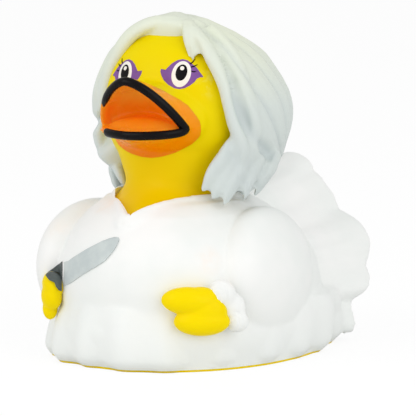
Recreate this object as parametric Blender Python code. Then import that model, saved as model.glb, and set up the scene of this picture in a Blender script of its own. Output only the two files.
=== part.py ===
"""A bath duck moulded in one piece, dressed in a gown, with long hair and a kitchen knife."""

import math

import bmesh
import bpy
from mathutils import Matrix, Vector
from mathutils.bvhtree import BVHTree

MM = 0.001

# Overall set-up of the sculpture, before it is centred over the origin.
ORIGIN_SHIFT_X = 0.0 * MM
ORIGIN_SHIFT_Y = 1.2 * MM

# Head and neck.
HEAD_Y = -9.0 * MM
HEAD_Z = 64.0 * MM
HEAD_HALF_WIDTH = 19.6 * MM
HEAD_HALF_LENGTH = 17.5 * MM
HEAD_HALF_HEIGHT = 20.0 * MM
HEAD_SQUARENESS = 2.25
JOWL_FULLNESS = 2.6
NECK_Y = -12.5 * MM
NECK_RADIUS = 12.8 * MM
NECK_Z = 43.5 * MM

# Bill: the open mouth is a closed rim that rises to a peak in front, round a wedge with a crease deep in it.
MOUTH_CORNER_X = 11.07 * MM
MOUTH_CORNER_Y = -28.5 * MM
MOUTH_CORNER_Z = 58.1 * MM
UPPER_RIM_SHARPNESS = 1.23
UPPER_RIM_REACH = 9.3 * MM
UPPER_RIM_REACH_POWER = 1.23
UPPER_RIM_RISE = 11.8 * MM
UPPER_RIM_RISE_POWER = 1.42
LOWER_RIM_SHARPNESS = 1.2
LOWER_RIM_REACH = 8.1 * MM
LOWER_RIM_REACH_POWER = 1.08
LOWER_RIM_DROP = 1.5 * MM
LOWER_RIM_DROP_POWER = 0.56
LIP_RADIUS = 1.0 * MM
CREASE_Y = -27.0 * MM
CREASE_Z = 61.4 * MM
CREASE_SAG_Y = 0.6 * MM
CREASE_SAG_Z = 2.2 * MM
CREASE_SHARE = 0.8
BILL_ROOT_HALF_WIDTH = 14.2 * MM
BILL_ROOT_TOP_Z = 69.5 * MM
BILL_ROOT_BOTTOM_Z = 50.6 * MM
BILL_ROOT_Y = -22.0 * MM

# Body under the gown.
BODY_TOP_Z = 41.0 * MM
BODY_HALF_WIDTH = 31.0 * MM

# Sleeves.
SLEEVE_X = 22.4 * MM
SLEEVE_Y = -13.0 * MM
SLEEVE_Z = 21.0 * MM
SLEEVE_HALF_WIDTH = 10.6 * MM
SLEEVE_HALF_LENGTH = 20.5 * MM
SLEEVE_HALF_HEIGHT = 17.0 * MM

# Skirt flounce round the foot of the gown.
HEM_Y = -3.0 * MM
HEM_HALF_WIDTH = 31.6 * MM
HEM_HALF_LENGTH = 42.0 * MM
FLOUNCE_HEIGHT = 15.5 * MM
FLOUNCE_WAVES = 22
FLOUNCE_WAVE_DEPTH = 1.0 * MM
REAR_FULLNESS = 3.0 * MM
HEM_PLAN = (
    (-180.0, 0.0 * MM), (-150.0, 1.6 * MM), (-125.0, 1.0 * MM), (-105.0, -0.8 * MM), (-88.0, -0.8 * MM),
    (-75.0, 0.4 * MM), (-60.0, -1.2 * MM), (-40.0, -2.4 * MM), (-20.0, -2.4 * MM), (0.0, -2.4 * MM),
    (25.0, -3.6 * MM), (38.0, -2.6 * MM), (52.0, 1.0 * MM), (90.0, 0.0 * MM), (180.0, 0.0 * MM),
)

# Train over the tail: a fan with a scalloped rim, given by points on its left half.
TRAIN_HUB_Z = 18.0 * MM
TRAIN_RIM = (
    (0.0, 0.0 * MM, 40.0 * MM, 46.4 * MM),
    (20.0, 9.2 * MM, 40.8 * MM, 43.4 * MM),
    (34.0, 12.6 * MM, 41.4 * MM, 37.2 * MM),
    (50.0, 17.0 * MM, 42.4 * MM, 32.6 * MM),
    (72.0, 23.4 * MM, 42.8 * MM, 25.6 * MM),
    (90.0, 26.2 * MM, 40.2 * MM, 18.0 * MM),
    (100.0, 27.0 * MM, 37.4 * MM, 13.2 * MM),
    (109.0, 25.4 * MM, 34.6 * MM, 9.2 * MM),
    (120.0, 25.6 * MM, 31.6 * MM, 4.0 * MM),
    (134.0, 21.5 * MM, 33.0 * MM, 0.9 * MM),
    (180.0, 0.0 * MM, 38.4 * MM, 0.8 * MM),
)
TRAIN_NOTCHES = (-134.0, -109.0, -89.0, -49.0, -22.0, 0.0, 22.0, 49.0, 89.0, 109.0, 134.0)
TRAIN_LOBE_DEPTH = 2.6 * MM
TRAIN_BACK_Y = 40.5 * MM

# Hair: a full mass, drawn back into the head inside the outline of the face.
HAIR_TOP_Z = 85.8 * MM
HAIR_BOTTOM_Z = 38.6 * MM
FACE_TOP_START_Z = 66.0 * MM
FACE_TOP_HALF_WIDTH = 17.2 * MM
FACE_TOP_RISE = 14.8 * MM
FACE_SIDES = (
    (30.0 * MM, 16.0 * MM),
    (43.0 * MM, 15.4 * MM),
    (48.0 * MM, 16.6 * MM),
    (54.0 * MM, 18.0 * MM),
    (60.0 * MM, 17.8 * MM),
    (66.0 * MM, 17.2 * MM),
)
HAIRLINE_START = 0.92
HAIRLINE_END = 1.12
HAIRLINE_DRAW = 0.55
HAIR_RIDGES = 18
HAIR_RIDGE_DEPTH = 0.8 * MM
PARTING_Y = -15.0 * MM
PARTING_Z = 87.0 * MM
GATHER_X = 14.0 * MM
GATHER_Y = -12.0 * MM
GATHER_Z = 32.0 * MM

# Collar band of the gown, along a V in front; its left half crosses over the right one.
COLLAR_HALF_WIDTH = 1.3 * MM
COLLAR_RELIEF = 0.9 * MM

# Knife held in the right hand, in low relief on the gown: outlines seen from the front as X and Z.
KNIFE_RELIEF = 1.0 * MM
BLADE_OUTLINE = (
    (-19.0, 24.2), (-13.7, 27.3), (-9.4, 29.6), (-4.6, 31.6), (-1.6, 32.6), (0.2, 32.6), (0.5, 31.8), (-0.4, 30.2),
    (-1.8, 28.0), (-3.4, 26.2), (-5.8, 24.7), (-10.0, 22.3), (-14.2, 19.6), (-15.4, 19.0),
)
HANDLE_OUTLINE = (
    (-19.8, 24.8), (-19.0, 24.6), (-14.6, 18.6), (-15.4, 17.9), (-17.6, 18.9), (-19.6, 20.2), (-24.8, 20.9),
    (-25.0, 21.8), (-22.4, 23.2),
)

# Foot of the duck: the forms run on below it and are cut off level, with a dish and a blind vent hole.
FOOT_ALLOWANCE = 2.0 * MM
DISH_RADIUS = 7.0 * MM
DISH_DEPTH = 0.8 * MM
VENT_RADIUS = 1.5 * MM
VENT_DEPTH = 4.0 * MM

# The vinyl that the duck is moulded in, under its paint.
VINYL_COLOUR = (0.84, 0.62, 0.0, 1.0)
VINYL_ROUGHNESS = 0.38

# Skin that joins all forms, and the facets it is reduced to.
VOXEL = 0.6 * MM
FACETS = 11000


def clear_scene():
    for obj in list(bpy.data.objects):
        bpy.data.objects.remove(obj)


def new_object(name, bm):
    mesh = bpy.data.meshes.new(name)
    bmesh.ops.recalc_face_normals(bm, faces=bm.faces)
    bm.to_mesh(mesh)
    bm.free()
    obj = bpy.data.objects.new(name, mesh)
    bpy.context.scene.collection.objects.link(obj)
    return obj


def placed_sphere(name, segments, rings, place):
    """A sphere whose points are put where place(height, angle) says: height runs from 0 at the foot to 1."""
    bm = bmesh.new()
    bmesh.ops.create_uvsphere(bm, u_segments=segments, v_segments=rings, radius=1.0)
    for vert in bm.verts:
        height = 1.0 - math.acos(max(-1.0, min(1.0, vert.co.z))) / math.pi
        vert.co = place(height, math.atan2(vert.co.y, vert.co.x))
    return new_object(name, bm)


def ellipsoid(name, centre, radii, turn=(0.0, 0.0, 0.0), segments=32, rings=20):
    """An ellipsoid, turned by its X, Y and Z angles in degrees about its own centre."""
    bm = bmesh.new()
    bmesh.ops.create_uvsphere(bm, u_segments=segments, v_segments=rings, radius=1.0)
    spin = Matrix.Identity(4)
    for axis, angle in zip("XYZ", turn):
        spin = Matrix.Rotation(math.radians(angle), 4, axis) @ spin
    move = Matrix.Translation(centre) @ spin @ Matrix.Diagonal((*radii, 1.0))
    bmesh.ops.transform(bm, matrix=move, verts=bm.verts)
    return new_object(name, bm)


def between(stations, height):
    """The values at a height, smoothly between the rows of a table whose first column is the height."""
    if height <= stations[0][0]:
        return stations[0][1:]
    for index in range(len(stations) - 1):
        low, high = stations[index], stations[index + 1]
        if height <= high[0]:
            break
    else:
        return stations[-1][1:]
    before = stations[max(index - 1, 0)]
    after = stations[min(index + 2, len(stations) - 1)]
    t = (height - low[0]) / (high[0] - low[0])
    values = []
    for k in range(1, len(low)):
        a, b, c, d = before[k], low[k], high[k], after[k]
        values.append(
            0.5 * (2 * b + (c - a) * t + (2 * a - 5 * b + 4 * c - d) * t * t + (3 * b - a - 3 * c + d) * t ** 3)
        )
    return values


def squircle(angle, power):
    """How far a unit circle reaches at an angle when it is squared off by a power above 2."""
    return (abs(math.cos(angle)) ** power + abs(math.sin(angle)) ** power) ** (-1.0 / power)


def stacked(name, stations, segments=64, rings=40, power=2.0, ripple=None):
    """A closed form through level rings: each row of stations is height, centre in Y, half width, half length."""
    low, high = stations[0][0], stations[-1][0]

    def place(height, angle):
        level = low + (high - low) * height
        centre_y, half_width, half_length = between(stations, level)
        if height in (0.0, 1.0):
            half_width = half_length = 0.0
        reach = squircle(angle, power)
        if ripple and half_width:
            reach *= 1.0 + ripple(angle, level) / half_width
        return Vector((half_width * reach * math.cos(angle), centre_y + half_length * reach * math.sin(angle), level))

    return placed_sphere(name, segments, rings, place)


def swept(name, path, widths, depths, outward_from, sides=14, steps=20):
    """A lock of hair or a fold: an oval section along a smooth path, flat towards the outside of a point."""
    bm = bmesh.new()
    rows = [(float(i), *p, w, d) for i, (p, w, d) in enumerate(zip(path, widths, depths))]
    rings = []
    last = len(rows) - 1
    for step in range(steps + 1):
        t = last * step / steps
        x, y, z, width, depth = between(rows, t)
        ahead = Vector(between(rows, min(t + 0.05, last))[:3]) - Vector(between(rows, max(t - 0.05, 0.0))[:3])
        ahead.normalize()
        point = Vector((x, y, z))
        out = point - Vector(outward_from)
        out = (out - ahead * out.dot(ahead)).normalized()
        side = ahead.cross(out)
        ring = []
        for k in range(sides):
            a = 2.0 * math.pi * k / sides
            ring.append(bm.verts.new(point + side * (width * math.cos(a)) + out * (depth * math.sin(a))))
        rings.append(ring)
    for lower, upper in zip(rings, rings[1:]):
        for k in range(sides):
            bm.faces.new((lower[k], lower[(k + 1) % sides], upper[(k + 1) % sides], upper[k]))
    bm.faces.new(list(reversed(rings[0])))
    bm.faces.new(rings[-1])
    return new_object(name, bm)


def draped(name, outline, forms, relief, grain=1.2 * MM):
    """A thin plate laid over forms: its outline is given as seen from the front, and relief is its height."""
    bm = bmesh.new()
    for form in forms:
        bm.from_mesh(form.data)
    ground = BVHTree.FromBMesh(bm)
    bm.free()
    bm = bmesh.new()
    bm.faces.new([bm.verts.new((x * MM, 0.0, z * MM)) for x, z in outline])
    bmesh.ops.triangulate(bm, faces=bm.faces)
    for _ in range(6):
        long_edges = [edge for edge in bm.edges if edge.calc_length() > grain]
        if not long_edges:
            break
        bmesh.ops.subdivide_edges(bm, edges=long_edges, cuts=1)
        bmesh.ops.triangulate(bm, faces=bm.faces)
    for vert in bm.verts:
        hit, normal, _, _ = ground.ray_cast(Vector((vert.co.x, -0.1, vert.co.z)), Vector((0.0, 1.0, 0.0)))
        if normal.y > 0.0:
            normal.negate()
        vert.co = hit + normal * relief
    sheet = bm.faces[:]
    under = bmesh.ops.extrude_face_region(bm, geom=sheet)
    moved = [item for item in under["geom"] if isinstance(item, bmesh.types.BMVert)]
    bmesh.ops.translate(bm, verts=moved, vec=(0.0, 2.5 * relief + 1.0 * MM, 0.0))
    return new_object(name, bm)


def mm(*values):
    return tuple(v * MM for v in values)


def head():
    centre = Vector((0.0, HEAD_Y, HEAD_Z))

    def place(height, angle):
        polar = math.pi * (1.0 - height)
        depth = abs(math.cos(polar))
        fullness = JOWL_FULLNESS if math.cos(polar) < 0.0 else 2.0
        reach = max(0.0, 1.0 - depth ** fullness) ** (1.0 / fullness) * squircle(angle, HEAD_SQUARENESS)
        return centre + Vector((
            HEAD_HALF_WIDTH * reach * math.cos(angle),
            HEAD_HALF_LENGTH * reach * math.sin(angle),
            HEAD_HALF_HEIGHT * math.cos(polar),
        ))

    return placed_sphere("head", 64, 40, place)


def neck():
    stations = [
        (30.0 * MM, NECK_Y, NECK_RADIUS * 1.9, NECK_RADIUS * 1.9),
        (35.0 * MM, NECK_Y - 2.0 * MM, NECK_RADIUS * 1.75, NECK_RADIUS * 1.85),
        (38.5 * MM, NECK_Y - 1.0 * MM, NECK_RADIUS * 1.34, NECK_RADIUS * 1.45),
        (41.0 * MM, NECK_Y, NECK_RADIUS * 1.12, NECK_RADIUS * 1.16),
        (NECK_Z, NECK_Y, NECK_RADIUS, NECK_RADIUS),
        (47.0 * MM, NECK_Y + 1.0 * MM, NECK_RADIUS * 1.12, NECK_RADIUS * 1.05),
        (52.0 * MM, NECK_Y + 2.5 * MM, NECK_RADIUS * 1.3, NECK_RADIUS * 1.2),
        (58.0 * MM, HEAD_Y, NECK_RADIUS * 1.3, NECK_RADIUS * 1.2),
    ]
    return stacked("neck", stations)


def rim_point(angle):
    """The middle of the mouth's lip: angle 0 is the corner at +X, 90 degrees the peak of the upper bill."""
    rise = math.sin(angle)
    sharpness = UPPER_RIM_SHARPNESS if rise >= 0.0 else LOWER_RIM_SHARPNESS
    x = MOUTH_CORNER_X * math.copysign(abs(math.cos(angle)) ** sharpness, math.cos(angle))
    if rise >= 0.0:
        y = MOUTH_CORNER_Y - UPPER_RIM_REACH * rise ** UPPER_RIM_REACH_POWER
        z = MOUTH_CORNER_Z + UPPER_RIM_RISE * rise ** UPPER_RIM_RISE_POWER
    else:
        y = MOUTH_CORNER_Y - LOWER_RIM_REACH * (-rise) ** LOWER_RIM_REACH_POWER
        z = MOUTH_CORNER_Z - LOWER_RIM_DROP * (-rise) ** LOWER_RIM_DROP_POWER
    return Vector((x, y, z))


def crease_point(angle):
    """The line deep in the mouth where its roof and its floor meet, under the lip's point at an angle."""
    rim = rim_point(angle)
    share = rim.x / MOUTH_CORNER_X
    return Vector((rim.x * CREASE_SHARE, CREASE_Y - CREASE_SAG_Y * share ** 2, CREASE_Z - CREASE_SAG_Z * share ** 2))


def bill():
    middle = Vector((0.0, MOUTH_CORNER_Y + 1.5 * MM, MOUTH_CORNER_Z + 0.25 * UPPER_RIM_RISE))
    root_z = 0.5 * (BILL_ROOT_TOP_Z + BILL_ROOT_BOTTOM_Z)
    root_half = 0.5 * (BILL_ROOT_TOP_Z - BILL_ROOT_BOTTOM_Z)
    back = Vector((0.0, 1.0, 0.0))

    def root(angle, share, y):
        return Vector((
            BILL_ROOT_HALF_WIDTH * share * math.cos(angle), y, root_z + root_half * share * math.sin(angle)
        ))

    def place(height, angle):
        rim, crease = rim_point(angle), crease_point(angle)
        out = rim - middle
        out.y *= 0.35
        out.normalize()
        waist = root(angle, 1.0, BILL_ROOT_Y).lerp(rim, 0.5) - out * (0.4 * MM)
        roof = max(0.0, math.sin(angle))
        tongue = Vector((0.0, -0.3 * MM, 0.9 * MM)) * max(0.0, -math.sin(angle))
        arch = Vector((0.0, 0.9 * MM, 0.5 * MM)) * roof
        rows = [
            (0.0, *root(angle, 0.0, BILL_ROOT_Y + 13.0 * MM)),
            (0.12, *root(angle, 0.9, BILL_ROOT_Y + 7.0 * MM)),
            (0.25, *root(angle, 1.0, BILL_ROOT_Y)),
            (0.38, *waist),
            (0.46, *(rim + out * LIP_RADIUS + back * (1.5 * MM))),
            (0.51, *(rim + out * LIP_RADIUS * 0.9 - back * (0.1 * MM))),
            (0.55, *(rim - back * (0.9 * MM))),
            (0.59, *(rim - out * LIP_RADIUS * 0.9 + back * (0.1 * MM))),
            (0.66, *(rim.lerp(crease, 0.3) + arch * 0.8 + back * (0.9 * MM))),
            (0.75, *(rim.lerp(crease, 0.55) + arch + tongue + back * (0.8 * MM))),
            (0.84, *(rim.lerp(crease, 0.78) + arch * 0.7 + tongue * 0.5 + back * (0.5 * MM))),
            (0.94, *crease),
            (1.0, 0.0, crease.y, crease.z),
        ]
        return Vector(between(rows, height))

    return placed_sphere("bill", 72, 64, place)


def body():
    stations = [
        (-FOOT_ALLOWANCE, -3.0 * MM, 28.0 * MM, 38.0 * MM),
        (0.0 * MM, -3.0 * MM, 28.5 * MM, 38.5 * MM),
        (8.0 * MM, -5.0 * MM, 31.0 * MM, 40.0 * MM),
        (14.0 * MM, -6.0 * MM, BODY_HALF_WIDTH, 38.0 * MM),
        (20.0 * MM, -7.0 * MM, 30.5 * MM, 36.5 * MM),
        (26.0 * MM, -8.0 * MM, 29.0 * MM, 34.5 * MM),
        (32.0 * MM, -9.5 * MM, 25.6 * MM, 30.2 * MM),
        (37.0 * MM, -11.5 * MM, 20.6 * MM, 24.4 * MM),
        (40.0 * MM, -12.5 * MM, 16.5 * MM, 18.5 * MM),
        (BODY_TOP_Z, -12.5 * MM, 9.0 * MM, 9.0 * MM),
    ]
    return stacked("body", stations, rings=56, power=2.15)


def sleeve(side):
    return ellipsoid(
        "sleeve", (side * SLEEVE_X, SLEEVE_Y, SLEEVE_Z),
        (SLEEVE_HALF_WIDTH, SLEEVE_HALF_LENGTH, SLEEVE_HALF_HEIGHT), turn=(-12.0, 0.0, side * 8.0), segments=40, rings=28,
    )


def cuff(side):
    """Two small ruffles round the end of a sleeve, one inside the other."""
    inside = mm(side * 18.0, -26.0, 16.0)
    inner = swept(
        "cuff_inner",
        [mm(side * 20.4, -36.2, 22.6), mm(side * 22.6, -35.6, 19.6), mm(side * 25.6, -34.4, 17.0), mm(side * 27.6, -32.6, 14.6),
         mm(side * 27.8, -31.6, 11.6), mm(side * 27.4, -29.4, 9.4)],
        mm(0.7, 1.5, 1.5, 1.3, 1.3, 0.9), mm(0.5, 1.3, 1.4, 1.3, 1.2, 0.8), inside,
    )
    outer = swept(
        "cuff_outer",
        [mm(side * 21.0, -33.6, 26.2), mm(side * 24.2, -32.8, 22.6), mm(side * 27.6, -31.4, 18.6), mm(side * 29.2, -29.4, 14.0),
         mm(side * 28.6, -26.6, 10.0)],
        mm(0.7, 2.0, 2.2, 1.9, 1.0), mm(0.5, 1.4, 1.6, 1.4, 0.8), inside,
    )
    return [inner, outer]


def left_hand():
    upper = ellipsoid("hand_upper", mm(20.0, -38.6, 17.9), mm(7.2, 3.0, 3.5), turn=(0.0, 4.0, 33.0))
    palm = ellipsoid("palm", mm(23.6, -36.2, 15.6), mm(5.6, 3.0, 4.6), turn=(0.0, 0.0, 33.0))
    lower = ellipsoid("hand_lower", mm(22.4, -36.8, 13.2), mm(6.8, 3.4, 3.6), turn=(0.0, 0.0, 33.0))
    return [upper, palm, lower]


def right_hand():
    fist = ellipsoid("fist", mm(-20.6, -36.6, 18.4), mm(4.2, 2.8, 3.2), turn=(0.0, 24.0, -40.0))
    fingers = ellipsoid("fingers", mm(-20.8, -37.0, 15.2), mm(3.7, 2.6, 3.4), turn=(0.0, 0.0, -40.0))
    thumb = ellipsoid("thumb", mm(-21.4, -36.8, 12.2), mm(2.0, 2.0, 2.8), turn=(0.0, 0.0, -40.0))
    return [fist, fingers, thumb]


def collar():
    inside = mm(0.0, -12.0, 30.0)
    bands = []
    for side, overlap in ((1, 1.4), (-1, -0.2)):
        bands.append(swept(
            "collar",
            [mm(-side * overlap, -37.6, 35.4), mm(side * 1.6, -36.1, 37.2), mm(side * 4.9, -32.2, 39.0), mm(side * 9.2, -26.0, 40.2),
             mm(side * 13.8, -19.0, 40.7), mm(side * 15.2, -10.5, 40.8), mm(side * 9.4, -1.5, 40.6), mm(0.0, 2.2, 40.0)],
            [COLLAR_HALF_WIDTH] * 8, [0.5 * COLLAR_RELIEF] + [COLLAR_RELIEF] * 7, inside, steps=36,
        ))
    return bands


def flounce():
    def ripple(angle, level):
        share = max(0.0, 1.0 - level / FLOUNCE_HEIGHT)
        rear = 2.0 * max(0.0, math.sin(angle)) * abs(math.cos(angle))
        waves = FLOUNCE_WAVE_DEPTH * (0.25 + 0.75 * share) * math.cos(FLOUNCE_WAVES * angle + 0.5 * math.sin(3.0 * angle))
        plan = between(HEM_PLAN, math.degrees(angle))[0]
        return waves + REAR_FULLNESS * rear + plan * share

    stations = [
        (-FOOT_ALLOWANCE, HEM_Y, HEM_HALF_WIDTH - 3.0 * MM, HEM_HALF_LENGTH - 4.5 * MM),
        (0.0 * MM, HEM_Y, HEM_HALF_WIDTH - 1.6 * MM, HEM_HALF_LENGTH - 2.4 * MM),
        (2.5 * MM, HEM_Y, HEM_HALF_WIDTH + 0.4 * MM, HEM_HALF_LENGTH),
        (7.0 * MM, HEM_Y - 0.3 * MM, HEM_HALF_WIDTH + 0.6 * MM, HEM_HALF_LENGTH),
        (12.0 * MM, HEM_Y - 0.8 * MM, HEM_HALF_WIDTH, HEM_HALF_LENGTH - 2.0 * MM),
        (FLOUNCE_HEIGHT, HEM_Y - 1.5 * MM, HEM_HALF_WIDTH - 1.6 * MM, HEM_HALF_LENGTH - 4.4 * MM),
    ]
    return stacked("flounce", stations, segments=176, rings=20, ripple=ripple)


def scallop(fan):
    """1 at the crown of a lobe of the train's rim and 0 in a notch, for an angle in degrees."""
    for low, high in zip(TRAIN_NOTCHES, TRAIN_NOTCHES[1:]):
        if low <= fan <= high:
            return math.sin(math.pi * (fan - low) / (high - low)) ** 0.6
    return 0.3


def train():
    """The gown's back, spread over the tail: rings run round the fan, from inside the body out to its rim."""
    hub = Vector((0.0, 0.0, TRAIN_HUB_Z))

    def place(height, angle):
        # The sphere's poles lie on the fan's axis, and its angle becomes the fan's own angle, 0 at the top.
        fan = math.degrees(angle - math.pi / 2.0)
        fan = (fan + 180.0) % 360.0 - 180.0
        x, y, z = between(TRAIN_RIM, abs(fan))
        rim = Vector((-math.copysign(x, fan), 0.0, z))
        rows = [
            (0.0, 0.0, -8.0 * MM - y, 0.0),
            (0.15, 0.55, -6.0 * MM - y, 0.0),
            (0.35, 0.80, 8.0 * MM - y, 0.15),
            (0.5, 0.88, -14.0 * MM, 0.35),
            (0.62, 0.97, -4.0 * MM, 0.9),
            (0.68, 1.0, -1.0 * MM, 1.0),
            (0.74, 0.99, 0.5 * MM, 1.0),
            (0.82, 0.86, -0.6 * MM, 0.8),
            (1.0, 0.0, TRAIN_BACK_Y - y, 0.0),
        ]
        share, back, depth = between(rows, height)
        out = rim - hub
        reach = out.length * share + depth * TRAIN_LOBE_DEPTH * (scallop(fan) - 0.6)
        point = hub + out.normalized() * max(reach, 0.0)
        return Vector((point.x, y + back, max(point.z, -FOOT_ALLOWANCE)))

    return placed_sphere("train", 144, 44, place)


def knife(forms):
    blade = draped("blade", BLADE_OUTLINE, forms, KNIFE_RELIEF)
    handle = draped("handle", HANDLE_OUTLINE, forms, 1.5 * KNIFE_RELIEF)
    return [blade, handle]


def foot_cutters():
    """The block below the floor, and the dish and vent hole in the middle of the foot."""
    bm = bmesh.new()
    block = Matrix.Translation((0.0, 0.0, -10.0 * MM)) @ Matrix.Diagonal((0.2, 0.2, 20.0 * MM, 1.0))
    bmesh.ops.create_cube(bm, size=1.0, matrix=block)
    cutters = [new_object("floor", bm)]
    for name, radius, depth in (("dish", DISH_RADIUS, DISH_DEPTH), ("vent", VENT_RADIUS, VENT_DEPTH)):
        bm = bmesh.new()
        place = Matrix.Translation((0.0, 0.0, 0.5 * depth - 0.5 * FOOT_ALLOWANCE))
        bmesh.ops.create_cone(
            bm, cap_ends=True, segments=32, radius1=radius, radius2=radius, depth=depth + FOOT_ALLOWANCE, matrix=place,
        )
        cutters.append(new_object(name, bm))
    for cutter in cutters:
        cutter.hide_render = True
        cutter.display_type = "WIRE"
    return cutters


def smooth_step(low, high, value):
    share = min(max((value - low) / (high - low), 0.0), 1.0)
    return share * share * (3.0 - 2.0 * share)


def strand_phase(point):
    """Where a point of the hair lies round the line from the parting to its side's gathered ends."""
    start = Vector((0.0, PARTING_Y, PARTING_Z))
    end = Vector((GATHER_X * math.tanh(point.x / (5.0 * MM)), GATHER_Y, GATHER_Z))
    axis = (end - start).normalized()
    arm = point - start
    arm -= axis * arm.dot(axis)
    side = Vector((1.0, 0.0, 0.0))
    side = (side - axis * side.dot(axis)).normalized()
    return math.atan2(arm.dot(axis.cross(side)), arm.dot(side))


def face_share(x, z):
    """How far a point of the front lies from the middle of the face: 1 is on the hairline."""
    if z < FACE_TOP_START_Z:
        return abs(x) / between(FACE_SIDES, z)[0]
    return math.hypot(x / FACE_TOP_HALF_WIDTH, (z - FACE_TOP_START_Z) / FACE_TOP_RISE)


def hair_mass():
    stations = [
        (HAIR_BOTTOM_Z, -4.6 * MM, 13.2 * MM, 12.2 * MM),
        (41.0 * MM, -5.3 * MM, 15.8 * MM, 15.4 * MM),
        (44.0 * MM, -6.0 * MM, 18.0 * MM, 18.0 * MM),
        (46.5 * MM, -6.3 * MM, 20.2 * MM, 20.4 * MM),
        (49.0 * MM, -6.3 * MM, 22.8 * MM, 22.9 * MM),
        (52.0 * MM, -6.0 * MM, 23.6 * MM, 23.9 * MM),
        (57.0 * MM, -5.2 * MM, 24.6 * MM, 25.0 * MM),
        (61.0 * MM, -5.1 * MM, 24.9 * MM, 25.2 * MM),
        (64.0 * MM, -5.6 * MM, 24.6 * MM, 24.9 * MM),
        (67.0 * MM, -6.2 * MM, 23.7 * MM, 24.0 * MM),
        (72.0 * MM, -7.3 * MM, 21.3 * MM, 21.6 * MM),
        (76.0 * MM, -8.2 * MM, 18.5 * MM, 18.8 * MM),
        (80.4 * MM, -10.3 * MM, 13.0 * MM, 13.3 * MM),
        (83.8 * MM, -12.6 * MM, 7.2 * MM, 7.4 * MM),
        (HAIR_TOP_Z, -13.5 * MM, 0.5 * MM, 0.5 * MM),
    ]
    middle = Vector((0.0, HEAD_Y, HEAD_Z))
    low, high = stations[0][0], stations[-1][0]

    def place(height, angle):
        level = low + (high - low) * height
        centre_y, half_width, half_length = between(stations, level)
        if height in (0.0, 1.0):
            half_width = half_length = 0.0
        point = Vector((half_width * math.cos(angle), centre_y + half_length * math.sin(angle), level))
        front = smooth_step(-8.0 * MM, -13.0 * MM, point.y)
        drawn = (1.0 - smooth_step(HAIRLINE_START, HAIRLINE_END, face_share(point.x, point.z))) * front
        fall = smooth_step(2.0 * MM, 14.0 * MM, (Vector((0.0, PARTING_Y, PARTING_Z)) - point).length)
        groove = 1.0 - abs(math.sin(0.25 * HAIR_RIDGES * strand_phase(point))) ** 0.55
        point += (middle - point).normalized() * (HAIR_RIDGE_DEPTH * groove * fall)
        return point.lerp(middle + (point - middle) * HAIRLINE_DRAW, drawn)

    return placed_sphere("hair_mass", 160, 72, place)


LOCKS = (
    ("cheek_roll",
     ((5.0, -17.0, 83.2), (9.6, -20.0, 80.2), (14.2, -21.2, 74.6), (17.4, -21.0, 68.0), (18.8, -20.2, 60.0), (19.4, -19.2, 52.6),
      (19.4, -18.6, 47.0)),
     (1.4, 2.0, 2.1, 2.1, 2.2, 2.3, 1.6), (1.4, 1.8, 1.9, 1.9, 2.0, 2.0, 1.6)),
    ("forelock_left",
     ((5.0, -17.6, 83.4), (6.2, -20.4, 81.2), (7.2, -22.0, 78.4), (8.2, -22.7, 75.6)),
     (0.9, 1.2, 1.0, 0.35), (0.9, 1.2, 1.1, 0.3)),
    ("forelock_right",
     ((6.6, -17.2, 83.4), (8.4, -20.0, 81.0), (9.4, -21.5, 78.0), (9.8, -22.2, 74.6)),
     (0.9, 1.3, 1.1, 0.3), (0.9, 1.3, 1.1, 0.3)),
    ("fringe_sweep",
     ((4.0, -17.0, 83.2), (-3.0, -19.2, 82.0), (-9.2, -20.0, 78.6), (-14.0, -19.8, 72.6), (-17.2, -18.8, 65.0),
      (-19.0, -17.2, 57.0), (-18.8, -16.2, 51.0), (-17.6, -15.4, 46.6)),
     (1.4, 2.1, 2.2, 2.2, 2.2, 2.2, 2.0, 0.9), (1.2, 1.7, 1.8, 1.8, 1.8, 1.8, 1.5, 0.7)),
    ("side_lock",
     ((10.0, -15.0, 82.6), (16.4, -16.6, 77.0), (20.6, -15.8, 69.0), (22.2, -14.4, 60.0), (22.0, -13.8, 52.0), (20.2, -15.2, 45.6)),
     (1.2, 2.2, 2.6, 2.6, 2.6, 1.4), (1.0, 1.6, 1.8, 1.8, 1.8, 1.1)),
    ("flick_front",
     ((19.2, -18.0, 55.4), (18.0, -20.8, 50.6), (16.2, -23.4, 46.0), (14.2, -25.4, 42.8)),
     (2.2, 3.0, 2.9, 0.5), (1.6, 2.1, 1.7, 0.4)),
    ("flick_front_low",
     ((20.0, -17.4, 52.0), (18.8, -20.4, 46.6), (17.4, -22.7, 43.0), (16.2, -24.0, 40.8)),
     (2.0, 2.6, 2.2, 0.5), (1.5, 2.0, 1.6, 0.4)),
    ("flick_middle",
     ((21.4, -14.6, 53.0), (20.4, -17.8, 46.6), (19.4, -21.2, 41.6), (18.9, -22.8, 38.4)),
     (2.4, 2.7, 2.3, 0.45), (1.8, 1.9, 1.5, 0.4)),
    ("flick_rear",
     ((22.0, -10.0, 52.0), (21.0, -13.6, 45.8), (20.8, -17.4, 41.4), (21.0, -19.4, 39.2)),
     (2.2, 2.3, 2.0, 0.45), (1.5, 1.7, 1.4, 0.4)),
    ("flick_last",
     ((22.0, -4.0, 51.0), (20.2, -7.4, 45.6), (18.4, -10.8, 41.6), (17.4, -12.0, 39.2)),
     (2.2, 2.5, 2.0, 0.6), (1.3, 1.5, 1.2, 0.5)),
    ("flick_right_front",
     ((-19.8, -11.0, 54.0), (-18.2, -12.6, 48.6), (-16.0, -14.0, 44.0), (-14.6, -14.6, 41.0)),
     (2.4, 2.6, 2.1, 0.5), (1.3, 1.5, 1.3, 0.4)),
    ("flick_right_last",
     ((-22.0, -5.0, 52.0), (-20.4, -8.0, 46.0), (-18.4, -10.8, 41.8), (-17.4, -12.0, 39.4)),
     (2.4, 2.6, 2.2, 0.5), (1.3, 1.5, 1.3, 0.4)),
)


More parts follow.
